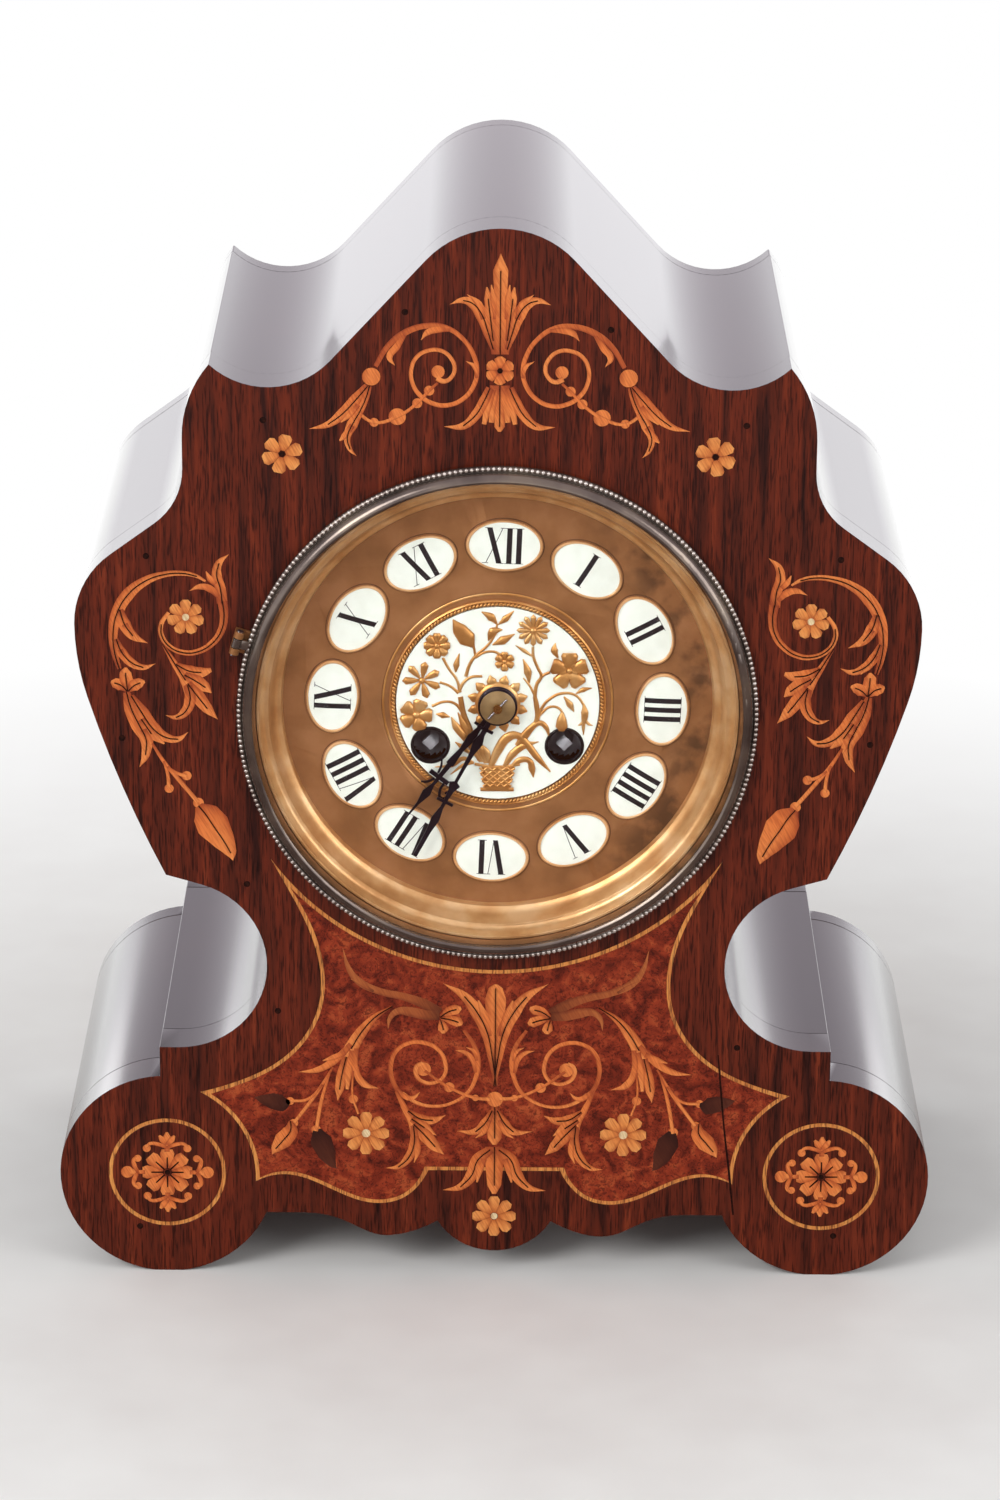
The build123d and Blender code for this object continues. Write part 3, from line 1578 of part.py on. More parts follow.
with BuildPart() as pin_wheel:
    add(
        wheel_mobile(
            pin_at, 1.0, small_pivot,
            wheel_points(pin_teeth, pin_module, warning_leaves, 0), 7.2, 2.8, pin_depth,
            pinion_points(pin_leaves, strike_module, pin_phase), 48.6, 2.4,
        )
    )
    for number in range(pin_count):
        spot = step_from(pin_at, pin_ring, 360 * number / pin_count)
        add(rod(lift_pin, pin_depth - 2.0, pin_depth + 0.4, spot))

with BuildPart() as warning_wheel:
    add(
        wheel_mobile(
            warning_at, 0.85, small_pivot,
            wheel_points(warning_teeth, warning_module, fly_leaves, 0), 7.2, 2.6, warning_depth,
            pinion_points(warning_leaves, pin_module, warning_phase), 37.4, 2.4,
        )
    )

fly_radius = 6.0
with BuildPart() as fly:
    add(arbor(fly_at, 0.75, small_pivot))
    add(toothed(pinion_points(fly_leaves, warning_module, fly_phase), 33.0, 2.2, fly_at))
    add(block(dial_plane(36.5, fly_at), (-fly_radius, -0.3, -9.0), (fly_radius, 0.3, 0)))
    add(rod(1.6, 37.0, 45.0, fly_at))

# Hammer with its tail, arbor and head
head_turn = 125.0
head_radius = 3.0
head_ring = bell_radius + head_radius + 1.0
head_at = step_from(centre_at, head_ring, head_turn)
lever_depth = 70.0
lever_long = hypot(head_at[0] - hammer_at[0], head_at[1] - hammer_at[1])
lever_turn = degrees(atan2(head_at[1] - hammer_at[1], head_at[0] - hammer_at[0]))
tail_turn = degrees(atan2(pin_at[1] - hammer_at[1], pin_at[0] - hammer_at[0]))
tail_long = hypot(pin_at[0] - hammer_at[0], pin_at[1] - hammer_at[1]) - pin_ring - lift_pin - 0.4


def lever(depth, turn, long, half):
    """Flat lever from the hammer arbor."""
    lay = Plane(
        origin=(hammer_at[0], front_y + depth, dial_height + hammer_at[1]),
        x_dir=(cos(radians(turn)), 0, sin(radians(turn))),
        z_dir=(0, -1, 0),
    )
    return block(lay, (0, -half, -1.2), (long, half, 0))


with BuildPart() as hammer:
    add(arbor(hammer_at, 1.2, mid_pivot, lever_depth + 1.2))
    add(lever(lever_depth, lever_turn, lever_long, 0.9))
    add(lever(pin_depth - 1.6, tail_turn, tail_long, 0.7))
    add(rod(head_radius, lever_depth - 2.4, lever_depth + 3.6, head_at))

# Bell and its stand
bell_hole = 2.1
bell_seat = bell_crown - bell_wall
with BuildPart() as bell:
    with BuildSketch(Plane(origin=(0, front_y, dial_height))):
        with BuildLine():
            Line((bell_radius, bell_mouth), (bell_radius - bell_wall, bell_mouth))
            ThreePointArc((bell_radius - bell_wall, bell_mouth), (27.0, 82.15), (bell_flat, bell_seat))
            Line((bell_flat, bell_seat), (bell_hole, bell_seat))
            Line((bell_hole, bell_seat), (bell_hole, bell_crown))
            Line((bell_hole, bell_crown), (bell_flat, bell_crown))
            ThreePointArc((bell_flat, bell_crown), (28.0, 83.3), (bell_radius, bell_mouth))
        make_face()
    revolve(axis=Axis((0, front_y, dial_height), (0, 1, 0)))

stand_turn = degrees(atan2(-stand_at[1], -stand_at[0]))
with BuildPart() as bell_stand:
    add(rod(5.0, rear_face, rear_face + 2.0, stand_at))
    add(rod(2.4, rear_face, stand_reach + 4.0, stand_at))
    reach = Plane(
        origin=(stand_at[0], front_y + stand_reach, dial_height + stand_at[1]),
        x_dir=(cos(radians(stand_turn)), 0, sin(radians(stand_turn))),
        z_dir=(0, 1, 0),
    )
    add(block(reach, (0, -2.4, 0), (hypot(*stand_at), 2.4, 4.0)))
    add(rod(4.0, stand_reach, bell_seat))
    add(rod(bell_hole - 0.1, stand_reach, bell_crown + 5.0))
    add(rod(4.0, bell_crown, bell_crown + 3.4))

# Back ring with sleeve, flange, strap lugs and hinge leaf
door_hinge = hinge_plane(0, door_hinge_radius, case_depth, 1)
back_inner = back_sleeve - 1.2
with BuildPart() as back_ring:
    add(
        turned(
            [
                (back_inner, back_sleeve_start),
                (back_sleeve, back_sleeve_start),
                (back_sleeve, case_depth),
                (back_ring_radius, case_depth),
                (back_ring_radius, case_depth + flange_thick),
                (back_inner, case_depth + flange_thick),
            ]
        )
    )
    for angle in strap_angles:
        lay = Plane(
            origin=(0, front_y + back_sleeve_start, dial_height),
            x_dir=(cos(radians(angle)), 0, sin(radians(angle))),
            z_dir=(0, 1, 0),
        )
        add(block(lay, (strap_ring - 4, -strap_width / 2, 0), (back_inner + 0.4, strap_width / 2, lug_thick)))
    for spot in strap_spots:
        lug_hole = rod(screw_radius + pin_fit, back_sleeve_start, back_sleeve_start + lug_thick, spot)
        add(lug_hole, mode=Mode.SUBTRACT)
    add(fixed_knuckles(door_hinge, door_hinge_radius - back_ring_radius + 1.0))

# Hinged back door with its dished panel and knob
door_front = case_depth + flange_thick + door_lift
with BuildPart() as back_door:
    add(
        turned(
            [
                (0, door_front + door_dish),
                (dish_radius, door_front + door_dish),
                (dish_radius + 4, door_front),
                (door_radius, door_front),
                (door_radius, door_front + door_thick),
                (dish_radius + 4.6, door_front + door_thick),
                (dish_radius + 0.6, door_front + door_dish + door_thick),
                (0, door_front + door_dish + door_thick),
            ]
        )
    )
    add(moving_knuckle(door_hinge, door_hinge_radius - door_radius + 1.0, door_front + 0.1 - case_depth))
    knob_at = (-knob_ring, 0.0)
    add(
        turned(
            [
                (0, door_front + 0.4),
                (1.6, door_front + 0.4),
                (1.6, door_front + 3.4),
                (3.2, door_front + 4.4),
                (3.4, case_depth + door_proud - 0.8),
                (2.4, case_depth + door_proud),
                (0, case_depth + door_proud),
            ],
            knob_at,
        )
    )

# Hinge pins of the bezel and the back door
with BuildPart() as hinge_pins:
    for plane in (bezel_hinge, door_hinge):
        add(barrel_along(plane, hinge_pin_radius, -knuckle_end - pin_head, knuckle_end + pin_head))
        add(barrel_along(plane, pin_head_radius, -knuckle_end - pin_head, -knuckle_end))
        add(barrel_along(plane, pin_head_radius, knuckle_end, knuckle_end + pin_head))

# Export every piece
pieces = {
    "front_board": front_board,
    "burr_panel": burr_panel,
    "boxwood_stringing": boxwood_stringing,
    "back_board": back_board,
    "crest_shell": crest_shell,
    "shoulder_left": shoulder_left,
    "shoulder_right": shoulder_right,
    "waist_left": waist_left,
    "waist_right": waist_right,
    "foot_left": foot_left,
    "foot_right": foot_right,
    "base_board": base_board,
    "front_ring": front_ring,
    "bezel_ring": bezel_ring,
    "bezel_glass": bezel_glass,
    "reflector_ring": reflector_ring,
    "dial_plate": dial_plate,
    "hour_plaques": hour_plaques,
    "centre_enamel": centre_enamel,
    "centre_relief": centre_relief,
    "winding_grommets": winding_grommets,
    "hour_hand": hour_hand,
    "minute_hand": minute_hand,
    "hand_washer": hand_washer,
    "hand_pin": hand_pin,
    "front_plate": front_plate,
    "back_plate": back_plate,
    "plate_pillars": plate_pillars,
    "steel_screws": steel_screws,
    "movement_straps": movement_straps,
    "going_barrel": going_barrel,
    "going_mainspring": going_mainspring,
    "going_winding_arbor": going_winding_arbor,
    "going_click": going_click,
    "mid_wheel": mid_wheel,
    "centre_wheel": centre_wheel,
    "third_wheel": third_wheel,
    "escape_wheel": escape_wheel,
    "cannon_pinion": cannon_pinion,
    "minute_wheel": minute_wheel,
    "hour_wheel": hour_wheel,
    "anchor": anchor,
    "back_cock": back_cock,
    "pendulum_rod": pendulum_rod,
    "pendulum_bob": pendulum_bob,
    "strike_barrel": strike_barrel,
    "strike_mainspring": strike_mainspring,
    "strike_winding_arbor": strike_winding_arbor,
    "strike_click": strike_click,
    "second_wheel": second_wheel,
    "count_wheel": count_wheel,
    "pin_wheel": pin_wheel,
    "warning_wheel": warning_wheel,
    "fly": fly,
    "hammer": hammer,
    "bell": bell,
    "bell_stand": bell_stand,
    "back_ring": back_ring,
    "back_door": back_door,
    "hinge_pins": hinge_pins,
}
for name, piece in pieces.items():
    piece.part.label = name
    export_step(piece.part, f"parts/{name}.step")
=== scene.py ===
import json
from math import cos, pi, radians, sin, tanh
import bmesh
import bpy
from mathutils import Matrix, Vector

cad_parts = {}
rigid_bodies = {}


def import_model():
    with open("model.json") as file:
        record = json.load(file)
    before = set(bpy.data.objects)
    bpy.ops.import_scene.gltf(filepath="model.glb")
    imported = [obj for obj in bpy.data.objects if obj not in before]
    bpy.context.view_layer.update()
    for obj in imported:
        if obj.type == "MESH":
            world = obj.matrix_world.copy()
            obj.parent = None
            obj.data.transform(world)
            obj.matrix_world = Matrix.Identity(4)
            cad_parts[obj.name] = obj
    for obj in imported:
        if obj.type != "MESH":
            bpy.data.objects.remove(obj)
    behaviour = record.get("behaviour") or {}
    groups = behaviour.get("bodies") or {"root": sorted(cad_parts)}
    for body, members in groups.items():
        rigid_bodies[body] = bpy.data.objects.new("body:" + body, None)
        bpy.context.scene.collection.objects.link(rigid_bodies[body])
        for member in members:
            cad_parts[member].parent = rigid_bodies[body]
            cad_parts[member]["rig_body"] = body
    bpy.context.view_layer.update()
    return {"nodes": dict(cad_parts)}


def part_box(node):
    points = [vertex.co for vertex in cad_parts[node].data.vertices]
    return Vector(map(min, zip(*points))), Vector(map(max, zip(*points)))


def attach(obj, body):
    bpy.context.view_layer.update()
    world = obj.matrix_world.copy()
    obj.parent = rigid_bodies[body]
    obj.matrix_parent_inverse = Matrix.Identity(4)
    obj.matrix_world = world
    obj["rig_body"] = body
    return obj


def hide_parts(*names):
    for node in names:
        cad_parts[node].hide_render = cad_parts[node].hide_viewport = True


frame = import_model()
scene = bpy.context.scene
MM = 0.001

# Places from the clock's drawing, in millimetres
FRONT = -80.15
DIAL_HEIGHT = 206.4
DIAL_DEPTH = 12.0
ENAMEL_DEPTH = 11.2
PLAQUE_RING = 55.3
INLAY_THICK = 0.3

# Turns of the dial and the hands, in degrees clockwise from twelve
DIAL_TURN = 2.0
HOUR_ANGLE = 217.3
MINUTE_ANGLE = 207.4

# Limits for smooth meshes: welded within this many millimetres, flat and sharp at these angles in degrees
WELD = 0.002
FLAT = 0.05
SHARP = 35.0
BEVELLED = 40.0

# Marquetry and posy as strokes of (across, up, half width) in millimetres; sides are given for the left half
CREST_MIDDLE = [
    [(0, 330.7, 2.82), (0, 337.4, 3.65), (0, 346, 2.98), (0, 353.2, 2.23), (0, 358.7, 2.48), (0, 364.5, 0)],
    [(0, 320.2, 3.33), (0, 315, 2.5), (0, 309, 1.67), (0, 306.2, 1.67), (0, 304.5, 0.5)],
]
CREST_SIDE = [
    [(-2.3, 335.3, 0.66), (-3.3, 343.4, 1.41), (-4, 349.4, 1.32), (-4.5, 353.2, 0.25)],
    [(-1.8, 342.5, 0.41), (-2.4, 349.4, 0.99), (-3, 354, 0.17)],
    [(-2.3, 332.4, 0.75), (-4, 338.2, 1.66), (-6.1, 344.2, 2.24), (-9.1, 347.8, 1.66),
     (-12.1, 348.8, 1.08), (-16.4, 347.4, 0)],
    [(-5.5, 342.5, 0.83), (-7.1, 347.6, 1.16), (-10.9, 350.8, 0)],
    [(-1.2, 319.3, 1.17), (-2.2, 314.1, 1.17), (-2.7, 307.6, 0.83)],
    [(-2.2, 318.8, 1), (-3.8, 313.3, 1.25), (-5.1, 307, 0.75)],
    [(-3.2, 319.3, 1.33), (-5.1, 315, 1.67), (-7.8, 310.2, 1.67), (-11.9, 306.4, 1.25), (-18.2, 306.1, 0)],
    [(-40.6, 326.4, 0.75), (-36.5, 333.3, 0.91), (-30.7, 338, 1.08), (-23.7, 340.2, 0.91),
     (-17.9, 339.7, 0.83), (-12.1, 335.8, 0.75), (-8.5, 330.1, 0.75), (-7.5, 324.9, 0.75),
     (-8.6, 320, 0.75), (-12, 315.6, 0.75), (-17, 313.4, 0.75), (-22, 314, 0.75), (-26.1, 316.7, 0.75),
     (-28.6, 321, 0.67), (-28.9, 325.6, 0.67), (-27.1, 329.7, 0.66), (-23.2, 331.9, 0.66),
     (-19.1, 331.8, 0.66), (-16, 329.3, 0.66), (-14.8, 326, 0.67), (-15.7, 323.1, 0.67),
     (-18.1, 321.5, 0.75), (-20.7, 322.5, 0.92)],
    [(-16.2, 338.8, 0.5), (-20.8, 338.8, 1.08), (-23.7, 337.9, 1), (-25.8, 335.3, 0)],
    [(-31, 337, 0.58), (-33.8, 332.9, 1.16), (-36, 329.6, 1.08), (-34.3, 326.7, 0)],
    [(-7.5, 322.7, 0.5), (-8.2, 326.4, 0.83), (-11.2, 328.4, 0)],
    [(-20.3, 320.9, 0.42), (-23.1, 318.3, 0.5), (-27, 314, 0.5), (-33.5, 309.4, 0.58),
     (-41.1, 307.4, 0.5), (-47.4, 311.6, 0.58)],
    [(-43.2, 319.7, 1.25), (-47, 315.1, 2), (-51.6, 310.1, 1.84), (-56.2, 306.6, 1.09), (-62.4, 305, 0)],
    [(-42.6, 319.7, 0.83), (-43.5, 316.4, 1), (-45.7, 311.2, 1.17), (-48.2, 306.7, 1.84),
     (-49.9, 302.1, 1.09), (-49, 298.2, 0.75), (-46.9, 295.9, 0)],
    [(-48.2, 306.4, 1), (-51, 302.5, 1), (-52.4, 301.1, 0.25)],
    [(-46.3, 313.4, 0.83), (-49, 309.9, 0.83), (-52, 307.3, 0.17)],
]
CREST_BEADS = [(-42, 322.9, 3), (-20.2, 324.7, 2.16), (-23.1, 318.3, 1.67), (-27, 314, 1.67),
    (-33.5, 309.4, 2.84), (-41.1, 307.4, 1.5)]
SHOULDER_SIDE = [
    [(-126.1, 221.4, 0.7), (-127.5, 226.7, 1.12), (-128, 233.4, 1.54), (-126.6, 240.8, 1.96),
     (-122.9, 247.3, 2.09), (-117.2, 252.1, 1.53), (-110.9, 254.5, 1.05), (-104.3, 255, 0.84),
     (-99.8, 254, 0.63), (-97, 252.3, 0.35)],
    [(-91.6, 244.7, 1.82), (-92.1, 249.8, 1.74), (-93.3, 254.6, 1.67), (-92.5, 258.6, 1.18),
     (-89.2, 261.7, 0)],
    [(-93.7, 251.3, 0.84), (-95.6, 253.3, 0.98), (-96.8, 255.7, 0.14)],
    [(-92.7, 246.9, 0.7), (-95.6, 249.7, 1.26), (-98.8, 250.4, 0.98), (-102.4, 248.9, 0)],
    [(-91.5, 245.4, 1.68), (-91, 240.3, 1.4), (-92, 235.1, 1.26), (-95, 230.7, 1.12),
     (-99.8, 227.7, 0.98), (-104.7, 227.3, 0.91), (-109.4, 229.5, 0.84), (-111.9, 233.5, 0.84),
     (-111.9, 237.2, 0.77), (-109.4, 241.3, 0.63)],
    [(-125.6, 242.2, 1.12), (-124.1, 237.1, 2.1), (-121.4, 233.1, 1.54), (-116.4, 230.5, 0)],
    [(-124.1, 237.1, 1.12), (-122.4, 234.2, 1.12), (-120, 231.2, 0.21)],
    [(-127, 231.9, 0.7), (-125.1, 227.1, 1.68), (-121.6, 223.4, 1.4), (-118.1, 222, 0.98),
     (-114.1, 223.3, 0)],
    [(-125.7, 228.2, 0.84), (-123.7, 224.2, 0.98), (-120.9, 221.4, 0.14)],
    [(-123.8, 213.8, 0.7), (-125.6, 215.6, 2.11), (-127.9, 216.5, 1.69), (-129, 216.9, 0.42)],
    [(-123.5, 213.8, 0.7), (-123.9, 217.5, 2.25), (-124.1, 220.1, 1.96), (-124, 221.9, 0.42)],
    [(-123.1, 213.8, 0.7), (-121.4, 215.5, 2.11), (-119.2, 216.6, 1.69), (-117.7, 217, 0.42)],
    [(-123.9, 213.2, 1.12), (-122.4, 207.4, 2.39), (-119.8, 201.5, 2.82), (-117.6, 196.3, 1.97),
     (-117.9, 191, 1.41), (-120, 186.5, 0)],
    [(-122.3, 211.9, 0.98), (-118.9, 206, 2.39), (-114.9, 200, 2.4), (-110.8, 197.2, 1.55),
     (-106.9, 196.7, 0.99), (-103.5, 199.2, 0)],
    [(-119.1, 203.7, 1.41), (-115.8, 198.5, 1.83), (-111.5, 195, 0.28)],
    [(-118.5, 200, 1.13), (-116.3, 195.5, 1.13), (-115.8, 193.3, 0.14)],
    [(-115.6, 195.1, 0.42), (-111.9, 188.8, 0.64), (-106.8, 182.1, 0.71), (-100.5, 174.2, 0.71)],
    [(-111.9, 188.8, 0.35), (-110.6, 184.3, 0.57), (-110.2, 179.4, 0.64)],
    [(-110.6, 186.9, 0.35), (-107.4, 184.5, 0.57), (-104.2, 183.6, 0.64)],
    [(-100.4, 172.9, 1.42), (-98.1, 170, 4.68), (-95.6, 165.9, 5.68), (-92.2, 160.6, 3.98),
     (-89.7, 156, 1.99), (-89, 153.2, 0)],
    [(-111.3, 229.8, 0.42), (-107.5, 223.2, 1.12), (-104.1, 217.6, 1.83), (-102.4, 212.1, 1.83)],
    [(-107.2, 223.2, 0.7), (-102.7, 220.8, 2.1), (-98.8, 220.4, 1.82), (-95.5, 221.3, 0.7)],
    [(-104.4, 219.5, 1.12), (-100.3, 217.1, 2.39), (-97.5, 215.1, 1.83), (-95.6, 213.2, 0.14)],
    [(-103.4, 216.5, 1.4), (-100, 211.7, 2.39), (-96.9, 207.6, 1.83), (-93.5, 203.8, 0)],
    [(-103.4, 215.8, 1.4), (-102.7, 210.6, 1.97), (-104.6, 206.2, 1.55), (-107.5, 204.4, 0.84),
     (-110.9, 205.1, 0)],
]
SHOULDER_BERRIES = [(-110.2, 179, 1.56), (-104.2, 183.6, 1.63), (-100.4, 173.9, 1.84)]
APRON_MIDDLE = [
    [(0, 75.7, 0.42), (0, 86.4, 1.12), (0, 95.5, 3.07), (0, 103, 3.62), (0, 107.2, 2.37), (0, 108.6, 0.56)],
    [(0, 62.9, 0.98), (0, 55.8, 2.53), (0, 51.2, 2.39), (0, 48.7, 0.7)],
    [(0, 47.9, 3.24), (0, 41.1, 3.1), (0, 33.4, 2.4), (0, 30.1, 0.71)],
]
APRON_SIDE = [
    [(0.4, 70.8, 0.56), (-0.9, 81, 1.54), (-2.8, 90.9, 2.23), (-6.4, 98.5, 2.37), (-10.6, 104.1, 1.53),
     (-17.9, 108.8, 0)],
    [(-1.8, 89.4, 0.7), (-3.9, 97, 1.39), (-5.9, 102.6, 0.28)],
    [(-10.7, 91.5, 0.56), (-7.2, 85.9, 0.77), (-5.8, 79.9, 0.91), (-6.6, 73.8, 0.77), (-9.2, 68.4, 0.63),
     (-14.3, 64.5, 0.56), (-20.6, 63, 0.56), (-26.9, 64.3, 0.63), (-31.8, 67.8, 0.7)],
    [(-32.9, 67.8, 0.84), (-35.3, 73.1, 0.77), (-35.7, 78.5, 0.77), (-34, 83.4, 0.7), (-30.1, 86.4, 0.7),
     (-24.8, 86.9, 0.77), (-19.6, 84.3, 0.7), (-17, 79, 0.7), (-17.5, 74.4, 0.63), (-20.6, 71.9, 0.63),
     (-24.4, 72.1, 0.63), (-27, 74.6, 0.7), (-26.9, 77.9, 0.77), (-24.8, 79.2, 0.7)],
    [(-33.9, 69.7, 0.56), (-30, 66.2, 0.98), (-27.9, 66.3, 0.7), (-25.7, 68.4, 0)],
    [(-6.7, 75.7, 0.56), (-8, 81, 0.91), (-10.5, 83.3, 0.7), (-13.6, 84, 0)],
    [(-6.3, 80.2, 0.42), (-7.3, 83.7, 0.7), (-10, 85.2, 0)],
    [(-24.1, 76.3, 0.49), (-15.7, 70.2, 0.49), (-6.5, 66.3, 0.56), (-1.6, 65.9, 0.7)],
    [(-33.9, 68.6, 0.56), (-31.1, 62.5, 1.05), (-28.3, 56.3, 1.27), (-27.7, 51.7, 1.27)],
    [(-29.8, 61.3, 0.7), (-25.5, 58.3, 1.83), (-21.3, 57.8, 1.41), (-16.9, 59.7, 0)],
    [(-28.6, 58.3, 1.12), (-24.1, 55, 1.97), (-20, 52.1, 0)],
    [(-27.9, 56.3, 1.12), (-23.7, 51.8, 2.39), (-20.5, 47.9, 1.83), (-17.4, 44.9, 0)],
    [(-27.9, 55.6, 1.12), (-27.7, 49, 1.69), (-29.8, 43.4, 1.55), (-33.2, 40.1, 0.92), (-37.3, 39.6, 0)],
    [(-27, 51.7, 0.84), (-26.4, 46.3, 0.99), (-27.7, 41.8, 0.14)],
    [(-18.7, 96.5, 0.56), (-15.9, 98.5, 1.67), (-13.3, 99.3, 1.81), (-11.7, 99.8, 0.56)],
    [(-18.6, 96.1, 0.56), (-15.1, 95.4, 1.67), (-12.6, 94.5, 1.81), (-11.2, 93.9, 0.56)],
    [(-18.7, 95.3, 0.56), (-18.1, 93.2, 1.54), (-17.8, 91.7, 1.81), (-17.8, 90.3, 0.56)],
    [(-35.2, 100.3, 0.21), (-41.2, 96.1, 1.12), (-45.8, 90.6, 1.95), (-49.3, 84.5, 2.38),
     (-51.4, 79.9, 1.82)],
    [(-49.3, 86, 0.98), (-55.2, 79.9, 1.4), (-60.9, 76.4, 1.05), (-67.4, 75.5, 0)],
    [(-51.4, 82.9, 0.98), (-55.6, 81, 0.98), (-59.1, 79.8, 0.14)],
    [(-51, 81.4, 1.26), (-52.7, 73.8, 1.82), (-53.4, 69.2, 1.54), (-54, 64.9, 0)],
    [(-48.9, 83.7, 0.98), (-50.1, 76.1, 1.26), (-50.7, 69.2, 0.56)],
    [(-47.5, 84.5, 0.84), (-47.8, 76.9, 1.05), (-45.1, 71.4, 1.26), (-39.9, 69.6, 0)],
    [(-55.6, 77.4, 0.35), (-61.3, 67.6, 0.63), (-69.1, 56.4, 0.56)],
    [(-59.1, 71, 0.35), (-64.4, 65.3, 0.49), (-70.4, 64.6, 0.49)],
    [(-56.5, 76, 0.35), (-59.5, 65.3, 0.63), (-61.5, 53.4, 0.63)],
    [(-48.7, 76.1, 0.35), (-48.8, 66.2, 0.35), (-46.9, 60, 0.35)],
    [(-0.9, 61.6, 0.7), (-3.3, 56.9, 1.69), (-6.5, 53.7, 1.27), (-12.9, 53.8, 0)],
    [(-1.6, 58.1, 0.56), (-3.7, 53.5, 0.84), (-6.5, 51.3, 0.14)],
    [(-1.5, 46.9, 1.55), (-5.7, 43, 2.26), (-7.8, 37.2, 2.12), (-11.7, 32.7, 1.27), (-17.7, 31.4, 0)],
    [(-3.6, 43.4, 0.99), (-5, 38.8, 0.99), (-6, 34.5, 0.28)],
    [(-70.3, 57.2, 0.56), (-70.3, 53.7, 2.67), (-73, 49.8, 3.1), (-75.5, 46.7, 1.69), (-76.7, 44.5, 0)],
]
APRON_BROWN = [
    [(-19.1, 97.8, 1.95), (-24.1, 101, 1.81), (-31.1, 103.7, 1.39), (-39.5, 105.7, 1.25),
     (-46.4, 109.1, 1.39), (-50, 113.9, 0.9), (-52.1, 121.6, 0)],
    [(-19.1, 97, 1.67), (-23.4, 97, 1.81), (-28.7, 98.1, 1.81), (-33.2, 98.4, 1.25), (-35.9, 96, 0.84),
     (-36.7, 91.6, 0)],
    [(-41.6, 105.7, 0.42), (-45, 107.8, 0.7), (-49.3, 110.2, 0.14)],
]
APRON_DARK = [
    [(-70.4, 64.3, 0.56), (-72.9, 63.8, 3.09), (-76.7, 64.6, 2.95), (-80.2, 65.3, 1.54), (-82.7, 65.9, 0)],
    [(-61.3, 53.9, 1.41), (-59.9, 49.9, 3.8), (-57.7, 44.5, 3.1), (-55.8, 40.7, 1.27), (-54.5, 39.2, 0)],
]
APRON_BEADS = [(-24.5, 76.9, 2.52), (-15.7, 70.2, 1.82), (-6.7, 66.3, 1.19), (0.5, 65.8, 2.81),
    (-70.4, 64.6, 1.47), (-69.2, 56.3, 1.55), (-61.5, 53.8, 1.69), (-48.7, 65.5, 1.61)]
